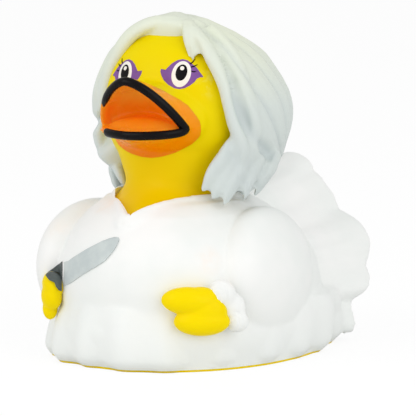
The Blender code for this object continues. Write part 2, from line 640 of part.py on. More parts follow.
def locks():
    """The rolls beside the face, the forelock and the flicked ends, each flat towards the head."""
    around = mm(0.0, -8.0, 62.0)
    return [
        swept(name, [mm(*point) for point in path], mm(*widths), mm(*depths), around)
        for name, path, widths, depths in LOCKS
    ]


def joined_skin(forms):
    """One closed skin round all the forms, with small fillets where they meet."""
    graph = bpy.context.evaluated_depsgraph_get()
    bm = bmesh.new()
    for form in forms:
        evaluated = form.evaluated_get(graph)
        bm.from_mesh(evaluated.to_mesh())
        evaluated.to_mesh_clear()
    mesh = bpy.data.meshes.new("duck")
    bm.to_mesh(mesh)
    bm.free()
    duck = bpy.data.objects.new("duck", mesh)
    bpy.context.scene.collection.objects.link(duck)
    skin = duck.modifiers.new("skin", "REMESH")
    skin.mode = "VOXEL"
    skin.voxel_size = VOXEL
    soften = duck.modifiers.new("soften", "SMOOTH")
    soften.factor = 0.5
    soften.iterations = 2
    return duck


def vinyl():
    material = bpy.data.materials.new("yellow_vinyl")
    material.use_nodes = True
    shader = material.node_tree.nodes["Principled BSDF"]
    shader.inputs["Base Color"].default_value = VINYL_COLOUR
    shader.inputs["Roughness"].default_value = VINYL_ROUGHNESS
    shader.inputs["Metallic"].default_value = 0.0
    return material


def evaluated_copy(obj, name):
    bpy.context.view_layer.update()
    graph = bpy.context.evaluated_depsgraph_get()
    mesh = bpy.data.meshes.new_from_object(obj.evaluated_get(graph))
    copy = bpy.data.objects.new(name, mesh)
    bpy.context.scene.collection.objects.link(copy)
    return copy


def main():
    clear_scene()
    body_forms = [body(), flounce()]
    for side in (-1, 1):
        body_forms += [sleeve(side), *cuff(side)]
    forms = [head(), neck(), bill(), train(), hair_mass(), *locks(), *collar(), *left_hand(), *right_hand(), *body_forms]
    forms += knife(body_forms)
    bpy.context.view_layer.update()
    skin = joined_skin(forms)
    for form in forms:
        bpy.data.objects.remove(form)
    duck = evaluated_copy(skin, "duck_skin")
    bpy.data.objects.remove(skin)
    duck.name = "duck"
    duck.data.materials.clear()
    duck.data.materials.append(vinyl())
    duck.data.shade_smooth()
    duck.data.transform(Matrix.Translation((ORIGIN_SHIFT_X, ORIGIN_SHIFT_Y, 0.0)))
    reduce = duck.modifiers.new("facets", "DECIMATE")
    reduce.ratio = min(1.0, FACETS / (2.0 * len(duck.data.polygons)))
    for cutter in foot_cutters():
        cut = duck.modifiers.new(cutter.name, "BOOLEAN")
        cut.object = cutter
        cut.operation = "DIFFERENCE"
        cut.solver = "EXACT"


main()
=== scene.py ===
"""Dresses the moulded bath duck: vinyl skin, painted gown and hair, gloss bill, printed eyes and a knife."""

from __future__ import annotations

import logging
import math
from dataclasses import dataclass, field
from enum import Enum
from typing import Callable, Sequence

import bpy
from mathutils import Matrix, Vector
from mathutils.bvhtree import BVHTree

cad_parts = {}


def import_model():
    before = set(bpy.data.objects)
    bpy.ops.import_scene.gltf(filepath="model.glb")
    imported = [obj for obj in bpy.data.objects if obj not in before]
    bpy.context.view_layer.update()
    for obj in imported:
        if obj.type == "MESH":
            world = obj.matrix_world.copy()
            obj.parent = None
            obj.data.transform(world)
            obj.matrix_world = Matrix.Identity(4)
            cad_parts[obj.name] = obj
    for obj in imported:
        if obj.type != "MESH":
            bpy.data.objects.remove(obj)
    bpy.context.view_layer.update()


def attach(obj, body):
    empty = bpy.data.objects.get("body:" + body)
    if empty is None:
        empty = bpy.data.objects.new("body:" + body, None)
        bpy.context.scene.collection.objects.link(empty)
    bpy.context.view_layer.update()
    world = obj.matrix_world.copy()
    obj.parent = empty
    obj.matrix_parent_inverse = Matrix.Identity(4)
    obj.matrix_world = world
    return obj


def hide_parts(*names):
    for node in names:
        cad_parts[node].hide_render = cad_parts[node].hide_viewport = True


LOG = logging.getLogger("bath_duck")
MM = 0.001
BODY = "root"
DUCK_NODE = "duck"
SEAT = Vector((0.0, 1.2 * MM, 0.0))
TURN = 2.0 * math.pi
CREASE_ANGLE = math.radians(50.0)
POLE = 1e-6
CUT_MERGE = 1e-7

Point = tuple[float, float, float]
Row = tuple[float, ...]
Outline = tuple[tuple[float, float], ...]
Place = Callable[[float, float], Vector]


class Side(Enum):
    """The duck's own left and right, as the sign of X."""

    LEFT = 1.0
    RIGHT = -1.0


class Coat(Enum):
    """The material slots of the record that the pieces take."""

    SKIN = "yellow_vinyl"
    GOWN = "gown_white"
    HAIR = "hair_grey"
    BILL = "bill_orange"
    LINE = "line_black"
    SHADOW = "eye_purple"
    EYE = "eye_white"
    BLADE = "blade_grey"
    HANDLE = "handle_grey"


def mm(*values: float) -> Vector:
    """A place given in millimetres."""
    return Vector(values) * MM


def between(rows: Sequence[Row], key: float) -> list[float]:
    """Reads a table smoothly between its rows.

    Args:
        rows: Rows whose first value is the key, in rising order.
        key: Where to read the table.

    Returns:
        The other values of the table at that key.
    """
    if key <= rows[0][0]:
        return list(rows[0][1:])
    if key >= rows[-1][0]:
        return list(rows[-1][1:])
    index = next(i for i in range(len(rows) - 1) if key <= rows[i + 1][0])
    low, high = rows[index], rows[index + 1]
    before, after = rows[max(index - 1, 0)], rows[min(index + 2, len(rows) - 1)]
    t = (key - low[0]) / (high[0] - low[0])
    values = []
    for a, b, c, d in zip(before[1:], low[1:], high[1:], after[1:]):
        bend, twist = 2 * a - 5 * b + 4 * c - d, 3 * b - a - 3 * c + d
        values.append(0.5 * (2 * b + (c - a) * t + bend * t**2 + twist * t**3))
    return values


def squircle(angle: float, power: float) -> float:
    """How far a unit circle reaches at an angle when a power above 2 squares it off."""
    return (abs(math.cos(angle)) ** power + abs(math.sin(angle)) ** power) ** (-1.0 / power)


def smooth_step(low: float, high: float, value: float) -> float:
    """0 on low's side, 1 on high's side, and a smooth change between."""
    t = min(max((value - low) / (high - low), 0.0), 1.0)
    return t * t * (3.0 - 2.0 * t)


class Bench:
    """Modelling steps that the pieces share, done with Blender's operators."""

    RING_RADIUS = 2.0
    RING_STEP = 0.02
    LOCK_STEP = 0.05
    LOCK_TIP = 0.14
    SMOOTHING = 0.5

    @staticmethod
    def clear() -> None:
        """Leaves nothing selected."""
        bpy.ops.object.select_all(action="DESELECT")

    @classmethod
    def pick(cls, *objects: bpy.types.Object) -> None:
        """Selects these objects alone and makes the first one active."""
        cls.clear()
        for obj in objects:
            obj.select_set(True)
        bpy.context.view_layer.objects.active = objects[0]

    @classmethod
    def ball(cls, name: str, segments: int, rings: int) -> bpy.types.Object:
        """A plain sphere primitive of radius 1 at the origin."""
        cls.clear()
        bpy.ops.mesh.primitive_uv_sphere_add(segments=segments, ring_count=rings, radius=1.0)
        form = bpy.context.object
        form.name = name
        return form

    @classmethod
    def shaped_sphere(cls, name: str, segments: int, rings: int, place: Place) -> bpy.types.Object:
        """A sphere primitive whose points are moved to a form.

        Args:
            name: Name of the new piece.
            segments: Points round each ring.
            rings: Rings from pole to pole.
            place: Gives each point from its height, 0 to 1, and its angle round the axis.

        Returns:
            The new closed mesh object.
        """
        form = cls.ball(name, segments, rings)
        for vertex in form.data.vertices:
            height = 1.0 - math.acos(max(-1.0, min(1.0, vertex.co.z))) / math.pi
            vertex.co = place(height, math.atan2(vertex.co.y, vertex.co.x))
        cls.face_outwards(form)
        return form

    @classmethod
    def shaped_ring(
        cls, name: str, around: int, section: int, path: Callable[[float], Vector], half_width: float,
        half_height: float, hub: Vector, share_at: Callable[[float], float],
    ) -> bpy.types.Object:
        """A torus primitive laid along a closed path, flat towards a hub.

        Args:
            name: Name of the new piece.
            around: Points along the path.
            section: Points round the section.
            path: Gives the middle of the section for an angle of one full turn.
            half_width: Half of the section's width along the surface.
            half_height: Half of its height away from the hub.
            hub: The point that the section's flat side faces.
            share_at: Gives the share of the full section that is used at an angle.

        Returns:
            The new closed mesh object.
        """
        cls.clear()
        bpy.ops.mesh.primitive_torus_add(
            major_segments=around, minor_segments=section, major_radius=cls.RING_RADIUS, minor_radius=1.0
        )
        ring = bpy.context.object
        ring.name = name
        for vertex in ring.data.vertices:
            turn = math.atan2(vertex.co.y, vertex.co.x)
            lean = math.atan2(vertex.co.z, math.hypot(vertex.co.x, vertex.co.y) - cls.RING_RADIUS)
            middle = path(turn)
            ahead = (path(turn + cls.RING_STEP) - path(turn - cls.RING_STEP)).normalized()
            out = middle - hub
            out = (out - ahead * out.dot(ahead)).normalized()
            across = ahead.cross(out)
            section_point = across * (half_width * math.sin(lean)) + out * (half_height * math.cos(lean))
            vertex.co = middle + section_point * share_at(turn)
        cls.face_outwards(ring)
        return ring

    @classmethod
    def face_outwards(cls, obj: bpy.types.Object) -> None:
        """Turns every face of a closed mesh outwards."""
        cls.pick(obj)
        bpy.ops.object.mode_set(mode="EDIT")
        bpy.ops.mesh.select_all(action="SELECT")
        bpy.ops.mesh.normals_make_consistent(inside=False)
        bpy.ops.object.mode_set(mode="OBJECT")

    @classmethod
    def ellipsoid(
        cls, name: str, centre: Vector, radii: Vector, turn: Point = (0.0, 0.0, 0.0), segments: int = 48,
        rings: int = 32,
    ) -> bpy.types.Object:
        """An ellipsoid, turned by X, Y and Z angles in degrees about its own centre."""
        form = cls.ball(name, segments, rings)
        spin = Matrix.Identity(4)
        for axis, angle in zip("XYZ", turn):
            spin = Matrix.Rotation(math.radians(angle), 4, axis) @ spin
        form.data.transform(Matrix.Translation(centre) @ spin @ Matrix.Diagonal((*radii, 1.0)))
        return form

    @classmethod
    def stacked(
        cls, name: str, rows: Sequence[Row], segments: int, rings: int, power: float = 2.0,
        ripple: Callable[[float, float, Vector], float] | None = None,
    ) -> bpy.types.Object:
        """A closed form through level rings.

        Args:
            name: Name of the new piece.
            rows: Height, centre in Y, half width and half length of each level, in millimetres.
            segments: Points round each ring.
            rings: Number of rings.
            power: 2 for oval rings, more for squarer ones.
            ripple: Gives an extra reach in metres for an angle, a height in metres and the plain point.

        Returns:
            The new closed mesh object.
        """
        low, high = rows[0][0], rows[-1][0]

        def place(height: float, angle: float) -> Vector:
            level = low + (high - low) * height
            centre, half_width, half_length = between(rows, level)
            if not POLE < height < 1.0 - POLE:
                half_width = half_length = 0.0
            reach = squircle(angle, power)
            half_x, half_y = half_width * math.cos(angle), half_length * math.sin(angle)
            point = mm(half_x * reach, centre + half_y * reach, level)
            if ripple and half_width:
                point += mm(half_x, half_y, 0.0).normalized() * ripple(angle, level * MM, point)
            return point

        return cls.shaped_sphere(name, segments, rings, place)

    @classmethod
    def lock(
        cls, name: str, path: Sequence[Point], widths: Sequence[float], depths: Sequence[float], hub: Vector,
        segments: int = 24, rings: int = 48,
    ) -> bpy.types.Object:
        """A tapering strand with an oval section along a smooth path, flat towards a hub.

        Args:
            name: Name of the new piece.
            path: Points of the path in millimetres.
            widths: Half width of the section at each point, in millimetres.
            depths: Half depth of the section at each point, in millimetres.
            hub: The point that the flat side faces.
            segments: Points round the section.
            rings: Sections along the path.

        Returns:
            The new closed mesh object.
        """
        rows = [(float(i), *p, w, d) for i, (p, w, d) in enumerate(zip(path, widths, depths))]
        last = float(len(rows) - 1)

        def place(height: float, angle: float) -> Vector:
            t = last * height
            x, y, z, width, depth = between(rows, t)
            before = between(rows, max(t - cls.LOCK_STEP, 0.0))
            after = between(rows, min(t + cls.LOCK_STEP, last))
            ahead = (mm(*after[:3]) - mm(*before[:3])).normalized()
            middle = mm(x, y, z)
            out = middle - hub
            out = (out - ahead * out.dot(ahead)).normalized()
            across = ahead.cross(out)
            tip = max(0.0, abs(height - 0.5) * 2.0 - (1.0 - cls.LOCK_TIP)) / cls.LOCK_TIP
            close = math.sqrt(max(0.0, 1.0 - tip**2)) * MM
            return middle + (across * width * math.cos(angle) + out * depth * math.sin(angle)) * close

        return cls.shaped_sphere(name, segments, rings, place)

    @classmethod
    def fuse(
        cls, name: str, forms: Sequence[bpy.types.Object], voxel: float, softening: int
    ) -> bpy.types.Object:
        """Joins forms under one closed skin.

        Args:
            name: Name of the joined piece.
            forms: The forms, which are used up.
            voxel: Grain of the new skin in metres.
            softening: How many times the skin is smoothed.

        Returns:
            The joined piece.
        """
        cls.pick(*forms)
        bpy.ops.object.join()
        piece = bpy.context.object
        piece.name = name
        skin = piece.modifiers.new("skin", "REMESH")
        skin.mode = "VOXEL"
        skin.voxel_size = voxel
        bpy.ops.object.modifier_apply(modifier=skin.name)
        soften = piece.modifiers.new("soften", "SMOOTH")
        soften.factor = cls.SMOOTHING
        soften.iterations = softening
        bpy.ops.object.modifier_apply(modifier=soften.name)
        return piece

    @classmethod
    def combine(cls, piece: bpy.types.Object, tool: bpy.types.Object, operation: str) -> None:
        """Cuts or keeps a piece by a tool, which is then removed.

        Args:
            piece: The piece that changes.
            tool: The closed solid that it is worked with.
            operation: DIFFERENCE or INTERSECT.
        """
        cls.pick(piece)
        work = piece.modifiers.new("work", "BOOLEAN")
        work.object = tool
        work.operation = operation
        work.solver = "EXACT"
        bpy.ops.object.modifier_apply(modifier=work.name)
        bpy.data.objects.remove(tool)

    @classmethod
    def copy(cls, piece: bpy.types.Object, name: str) -> bpy.types.Object:
        """A copy of a piece with its own mesh."""
        cls.pick(piece)
        bpy.ops.object.duplicate()
        twin = bpy.context.object
        twin.name = name
        return twin

    @classmethod
    def swell(cls, piece: bpy.types.Object, height: float) -> None:
        """Moves a piece's surface outwards by a height in metres."""
        cls.pick(piece)
        grow = piece.modifiers.new("grow", "DISPLACE")
        grow.strength = height
        grow.mid_level = 0.0
        bpy.ops.object.modifier_apply(modifier=grow.name)

    @classmethod
    def carve(cls, piece: bpy.types.Object, deepest: float, depth_at: Callable[[Vector], float]) -> None:
        """Sinks grooves into a piece's surface and keeps their depth for its finish.

        Args:
            piece: The piece.
            deepest: The greatest depth in metres.
            depth_at: Gives the share of it, from 0 to 1, at a point of the surface.
        """
        shares = [min(max(depth_at(vertex.co), 0.0), 1.0) for vertex in piece.data.vertices]
        group = piece.vertex_groups.new(name="groove")
        for index, share in enumerate(shares):
            group.add([index], share, "REPLACE")
        cls.pick(piece)
        sink = piece.modifiers.new("sink", "DISPLACE")
        sink.strength = -deepest
        sink.mid_level = 0.0
        sink.vertex_group = group.name
        bpy.ops.object.modifier_apply(modifier=sink.name)
        piece.vertex_groups.clear()
        kept = piece.data.attributes.new("groove", "FLOAT", "POINT")
        kept.data.foreach_set("value", shares)

    @classmethod
    def soften(cls, piece: bpy.types.Object, times: int, share_at: Callable[[Vector], float]) -> None:
        """Smooths a part of a piece's surface.

        Args:
            piece: The piece.
            times: How many times it is smoothed.
            share_at: Gives the share of the smoothing, from 0 to 1, at a point.
        """
        group = piece.vertex_groups.new(name="soft")
        for vertex in piece.data.vertices:
            group.add([vertex.index], share_at(vertex.co), "REPLACE")
        cls.pick(piece)
        smooth = piece.modifiers.new("smooth", "SMOOTH")
        smooth.factor = cls.SMOOTHING
        smooth.iterations = times
        smooth.vertex_group = group.name
        bpy.ops.object.modifier_apply(modifier=smooth.name)
        piece.vertex_groups.clear()

    @classmethod
    def level_off(cls, piece: bpy.types.Object, height: float, below: bool = False) -> None:
        """Cuts a piece off level at a height in metres, closes it and keeps what lies above, or below."""
        cls.pick(piece)
        bpy.ops.object.mode_set(mode="EDIT")
        bpy.ops.mesh.select_all(action="SELECT")
        bpy.ops.mesh.bisect(
            plane_co=(0.0, 0.0, height), plane_no=(0.0, 0.0, 1.0), use_fill=True, clear_inner=not below,
            clear_outer=below, threshold=CUT_MERGE,
        )
        bpy.ops.object.mode_set(mode="OBJECT")

    @staticmethod
    def ground_of(*pieces: bpy.types.Object) -> BVHTree:
        """The surface of some pieces, for laying films on it."""
        points: list[Vector] = []
        faces: list[list[int]] = []
        for piece in pieces:
            start = len(points)
            points.extend(vertex.co.copy() for vertex in piece.data.vertices)
            faces.extend([start + i for i in polygon.vertices] for polygon in piece.data.polygons)
        return BVHTree.FromPolygons(points, faces)

    @classmethod
    def present(cls, piece: bpy.types.Object, finish: bpy.types.Material, coat: Coat) -> bpy.types.Object:
        """Seats a finished piece over the foot, dresses it and reports it.

        Args:
            piece: The finished piece, in the sculpture's own place.
            finish: Its material.
            coat: The record's slot for the piece; not used.

        Returns:
            The same piece.
        """
        piece.data.transform(Matrix.Translation(SEAT))
        piece.data.materials.clear()
        piece.data.materials.append(finish)
        cls.pick(piece)
        bpy.ops.object.shade_smooth_by_angle(angle=CREASE_ANGLE)
        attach(piece, BODY)
        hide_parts(DUCK_NODE)
        LOG.info("%s: %d faces", piece.name, len(piece.data.polygons))
        return piece


@dataclass(frozen=True)
class Film:
    """A thin printed film whose outline is laid on a surface from one direction."""

    name: str
    centre: Vector
    facing: Vector
    outline: Outline
    height: float = 0.06 * MM
    depth: float = 0.25 * MM
    rings: int = 24
    segments: int = 96
    standoff: float = 60.0 * MM
    rim_share: float = 0.85
    rim_width: float = 0.12
    buried_share: float = 0.2

    def axes(self) -> tuple[Vector, Vector, Vector]:
        """The film's own right, up and outward directions."""
        out = self.facing.normalized()
        right = Vector((0.0, 0.0, 1.0)).cross(out).normalized()
        return right, out.cross(right), out

    def rim(self, angle: float) -> tuple[float, float]:
        """The outline's point at an even share of its length, for an angle of one full turn."""
        count = len(self.outline)
        sides = [math.dist(self.outline[i], self.outline[(i + 1) % count]) for i in range(count)]
        left = (angle % TURN) / TURN * sum(sides)
        index = 0
        while index < count - 1 and left > sides[index]:
            left -= sides[index]
            index += 1
        (ax, ay), (bx, by) = self.outline[index], self.outline[(index + 1) % count]
        share = min(left / sides[index], 1.0)
        return ax + (bx - ax) * share, ay + (by - ay) * share

    def build(self, ground: BVHTree) -> bpy.types.Object:
        """Lays the film on the ground.

        Args:
            ground: The surface that carries it.

        Returns:
            The closed film.
        """
        right, up, out = self.axes()
        middle_x = sum(point[0] for point in self.outline) / len(self.outline)
        middle_y = sum(point[1] for point in self.outline) / len(self.outline)

        def place(height: float, angle: float) -> Vector:
            top = height > 0.5
            share = min(2.0 * (1.0 - height) if top else 2.0 * height, 1.0)
            x, y = self.rim(angle)
            across = middle_x + (x - middle_x) * share
            rise = middle_y + (y - middle_y) * share
            start = self.centre + (right * across + up * rise) * MM + out * self.standoff
            hit = ground.ray_cast(start, -out)[0]
            if hit is None:
                hit = start - out * self.standoff
            edge = smooth_step(0.0, self.rim_width, 1.0 - share)
            if top:
                return hit + out * (self.height * (self.rim_share + (1.0 - self.rim_share) * edge))
            return hit - out * self.depth * (self.buried_share + (1.0 - self.buried_share) * edge)

        return Bench.shaped_sphere(self.name, self.segments, 2 * self.rings, place)


def oval(
    half_width: float, half_height: float, tilt: float = 0.0, x: float = 0.0, y: float = 0.0, points: int = 48
) -> Outline:
    """Points of an oval in millimetres, turned by a tilt in degrees.

    Args:
        half_width: Half of its width.
        half_height: Half of its height.
        tilt: Turn in degrees.
        x: Middle along the film's right.
        y: Middle along the film's up.
        points: How many points it has.

    Returns:
        The outline's points.
    """
    lean = math.radians(tilt)
    outline = []
    for step in range(points):
        angle = TURN * step / points
        u, v = half_width * math.cos(angle), half_height * math.sin(angle)
        right = u * math.cos(lean) - v * math.sin(lean)
        outline.append((x + right, y + u * math.sin(lean) + v * math.cos(lean)))
    return tuple(outline)


# ---------------------------------------------------------------- sub-assemblies


@dataclass(frozen=True)
class Bill:
    """The open bill: its lip is a closed line that rises to a peak in front, round a wedge-shaped mouth."""

    corner: Point = (11.4, -27.9, 58.1)
    upper_sharpness: float = 1.23
    upper_reach: float = 9.3
    upper_reach_power: float = 1.23
    upper_rise: float = 11.8
    upper_rise_power: float = 1.42
    lower_sharpness: float = 1.2
    lower_reach: float = 8.1
    lower_reach_power: float = 1.08
    lower_drop: float = 1.5
    lower_drop_power: float = 0.56
    lip_radius: float = 0.8
    root_half_width: float = 14.2
    root_top: float = 69.5
    root_bottom: float = 50.6
    root_y: float = -22.0
    crease_y: float = -27.0
    crease_z: float = 61.4
    crease_sag: tuple[float, float] = (0.6, 2.2)
    crease_share: float = 0.8
    line_half_width: float = 1.12
    line_half_height: float = 0.88
    line_hub: Point = (0.0, -22.0, 62.0)
    line_far: tuple[float, float] = (0.68, 0.9)
    line_far_loss: float = 0.52
    line_far_slip: Point = (-0.45, 0.35, 0.0)
    line_low_slip: Point = (1.15, 0.0, -0.3)
    line_sink: Point = (0.0, -0.1, 0.0)
    paint_height: float = 0.06
    paint_middle: float = 59.5
    paint_depth: tuple[float, float] = (-16.0, -50.0)
    paint_outline: Outline = (
        (13.3, 58.6), (13.1, 59.8), (12.6, 61.0), (11.8, 62.4), (10.9, 63.7), (9.1, 65.3), (6.8, 66.3),
        (3.6, 67.0), (0.0, 67.2), (-3.6, 67.0), (-6.8, 66.3), (-9.1, 65.3), (-10.9, 63.7), (-11.8, 62.4),
        (-12.6, 61.0), (-13.1, 59.8), (-13.3, 58.6), (-13.2, 57.0), (-12.6, 54.6), (-11.2, 52.6),
        (-9.0, 51.6), (-6.0, 50.9), (-2.8, 50.4), (0.2, 50.3), (3.2, 50.8), (6.0, 51.7), (9.0, 53.2),
        (10.4, 54.0),
        (11.6, 55.0), (12.7, 56.2), (13.2, 57.5),
    )
    paint_front_y: float = -28.0
    paint_front_rise: float = 0.5

    def lip(self, angle: float) -> Vector:
        """The middle of the lip: angle 0 is the left corner, a quarter turn the peak of the upper bill."""
        rise = math.sin(angle)
        upper = rise >= 0.0
        sharpness = self.upper_sharpness if upper else self.lower_sharpness
        x = self.corner[0] * math.copysign(abs(math.cos(angle)) ** sharpness, math.cos(angle))
        if upper:
            y = self.corner[1] - self.upper_reach * rise**self.upper_reach_power
            z = self.corner[2] + self.upper_rise * rise**self.upper_rise_power
        else:
            y = self.corner[1] - self.lower_reach * (-rise) ** self.lower_reach_power
            z = self.corner[2] - self.lower_drop * (-rise) ** self.lower_drop_power
        return mm(x, y, z)

    def crease(self, angle: float) -> Vector:
        """The line deep in the mouth where its roof and its floor meet."""
        lip = self.lip(angle)
        share = abs(lip.x) / (self.corner[0] * MM)
        return Vector((
            lip.x * self.crease_share,
            (self.crease_y - self.crease_sag[0] * share**2) * MM,
            (self.crease_z - self.crease_sag[1] * share**2) * MM,
        ))

    def form(self) -> bpy.types.Object:
        """The bill's solid, from its root in the head over the lip to the crease."""
        middle = mm(0.0, self.corner[1] + 1.5, self.corner[2] + 0.25 * self.upper_rise)
        root_z = 0.5 * (self.root_top + self.root_bottom)
        root_half = 0.5 * (self.root_top - self.root_bottom)
        back = Vector((0.0, 1.0, 0.0))

        def root(angle: float, share: float, y: float) -> Vector:
            x = self.root_half_width * share * math.cos(angle)
            return mm(x, y, root_z + root_half * share * math.sin(angle))

        def place(height: float, angle: float) -> Vector:
            lip, crease = self.lip(angle), self.crease(angle)
            out = lip - middle
            out.y *= 0.35
            out.normalize()
            radius = self.lip_radius * MM
            waist = root(angle, 1.0, self.root_y).lerp(lip, 0.5) - out * (0.4 * MM)
            roof = max(0.0, math.sin(angle))
            floor = max(0.0, -math.sin(angle))
            arch = back * (0.9 * MM * roof) + Vector((0.0, 0.0, 0.5 * MM * roof))
            tongue = Vector((0.0, -0.3 * MM, 0.9 * MM)) * floor
            rows = [
                (0.0, *root(angle, 0.0, self.root_y + 13.0)),
                (0.12, *root(angle, 0.9, self.root_y + 7.0)),
                (0.25, *root(angle, 1.0, self.root_y)),
                (0.38, *waist),
                (0.46, *(lip + out * radius + back * (1.5 * MM))),
                (0.51, *(lip + out * radius * 0.9 - back * (0.1 * MM))),
                (0.55, *(lip - back * (0.9 * MM))),
                (0.59, *(lip - out * radius * 0.9 + back * (0.1 * MM))),
                (0.66, *(lip.lerp(crease, 0.3) + arch * 0.8 + back * (0.9 * MM))),
                (0.75, *(lip.lerp(crease, 0.55) + arch + tongue + back * (0.8 * MM))),
                (0.84, *(lip.lerp(crease, 0.78) + arch * 0.7 + tongue * 0.5 + back * (0.5 * MM))),
                (0.94, *crease),
                (1.0, *Vector((0.0, crease.y, crease.z))),
            ]
            return Vector(between(rows, height))

        return Bench.shaped_sphere("bill", 112, 84, place)

    def line(self, finish: bpy.types.Material) -> bpy.types.Object:
        """The thick glossy line painted along the lip, thinner where it turns round the right corner.

        Args:
            finish: The line's material.

        Returns:
            The dressed piece.
        """
        def far_share(angle: float) -> float:
            return smooth_step(*self.line_far, -math.cos(angle))

        def path(angle: float) -> Vector:
            low = smooth_step(0.05, -0.35, math.sin(angle))
            slip = mm(*self.line_far_slip) + mm(*self.line_low_slip) * low
            return self.lip(angle) + mm(*self.line_sink) + slip * far_share(angle)

        ring = Bench.shaped_ring(
            "mouth_line", 260, 20, path, self.line_half_width * MM, self.line_half_height * MM,
            mm(*self.line_hub), lambda angle: 1.0 - self.line_far_loss * far_share(angle),
        )
        return Bench.present(ring, finish, Coat.LINE)

    def paint(self, skin: bpy.types.Object, finish: bpy.types.Material) -> bpy.types.Object:
        """The coat of paint on the bill, up to a soft oval on the cheeks.

        Args:
            skin: The bare skin that is painted.
            finish: The paint's material.

        Returns:
            The dressed piece.
        """
        coat = Bench.copy(skin, "bill_paint")
        Bench.swell(coat, self.paint_height * MM)
        edge = Film("paint_edge", Vector(), Vector((0.0, -1.0, 0.0)), self.paint_outline)

        def place(height: float, angle: float) -> Vector:
            x, z = edge.rim(angle)
            share = min(1.0, 8.0 * min(height, 1.0 - height))
            back, front = self.paint_depth
            y = back + (front - back) * smooth_step(0.125, 0.875, height)
            rise = self.paint_front_rise * max(0.0, self.paint_front_y - y) * smooth_step(60.0, 65.0, z)
            return mm(x * share, y, self.paint_middle + (z + rise - self.paint_middle) * share)

        Bench.combine(coat, Bench.shaped_sphere("paint_edge", 160, 48, place), "INTERSECT")
        return Bench.present(coat, finish, Coat.BILL)


@dataclass(frozen=True)
class Skin:
    """The bare vinyl of head, neck and chest."""

    bill: Bill = field(default_factory=Bill)
    head_centre: Point = (0.0, -9.0, 64.0)
    head_half: Point = (19.6, 17.5, 20.0)
    head_squareness: float = 2.25
    jowl_fullness: float = 2.6
    neck_y: float = -12.5
    neck_radius: float = 12.8
    hidden_shrink: float = 0.15
    hidden_from: tuple[float, float] = (-15.0, -7.0)
    voxel: float = 0.42

    def head(self) -> bpy.types.Object:
        """The head, slightly squared in plan, and smaller where the hair covers it."""
        centre = mm(*self.head_centre)

        def place(height: float, angle: float) -> Vector:
            polar = math.pi * (1.0 - height)
            fullness = self.jowl_fullness if math.cos(polar) < 0.0 else 2.0
            depth = abs(math.cos(polar)) ** fullness
            reach = max(0.0, 1.0 - depth) ** (1.0 / fullness) * squircle(angle, self.head_squareness)
            arm = mm(
                self.head_half[0] * reach * math.cos(angle),
                self.head_half[1] * reach * math.sin(angle),
                self.head_half[2] * math.cos(polar),
            )
            hidden = smooth_step(*self.hidden_from, (centre + arm).y / MM)
            return centre + arm * (1.0 - self.hidden_shrink * hidden)

        return Bench.shaped_sphere("head", 96, 64, place)

    def neck(self) -> bpy.types.Object:
        """The neck, narrow under the cheeks and wide where it runs into the chest."""
        y, radius = self.neck_y, self.neck_radius
        rows = (
            (28.0, y, radius * 1.8, radius * 1.8),
            (33.0, y - 2.6, radius * 1.72, radius * 1.86),
            (36.5, y - 1.9, radius * 1.46, radius * 1.6),
            (39.0, y - 0.9, radius * 1.24, radius * 1.34),
            (41.2, y - 0.2, radius * 1.08, radius * 1.12),
            (43.5, y, radius, radius),
            (47.0, y + 1.0, radius * 1.12, radius * 1.05),
            (52.0, y + 2.5, radius * 1.3, radius * 1.2),
            (58.0, self.head_centre[1], radius * 1.3, radius * 1.2),
        )
        return Bench.stacked("neck", rows, 96, 56)

    def build(self, finish: bpy.types.Material) -> bpy.types.Object:
        """Joins the forms under one skin.

        Args:
            finish: The vinyl.

        Returns:
            A bare copy in the sculpture's own place, that carries paint and prints.
        """
        skin = Bench.fuse("head_skin", [self.head(), self.neck(), self.bill.form()], self.voxel * MM, 3)
        bare = Bench.copy(skin, "bare_skin")
        Bench.present(skin, finish, Coat.SKIN)
        return bare


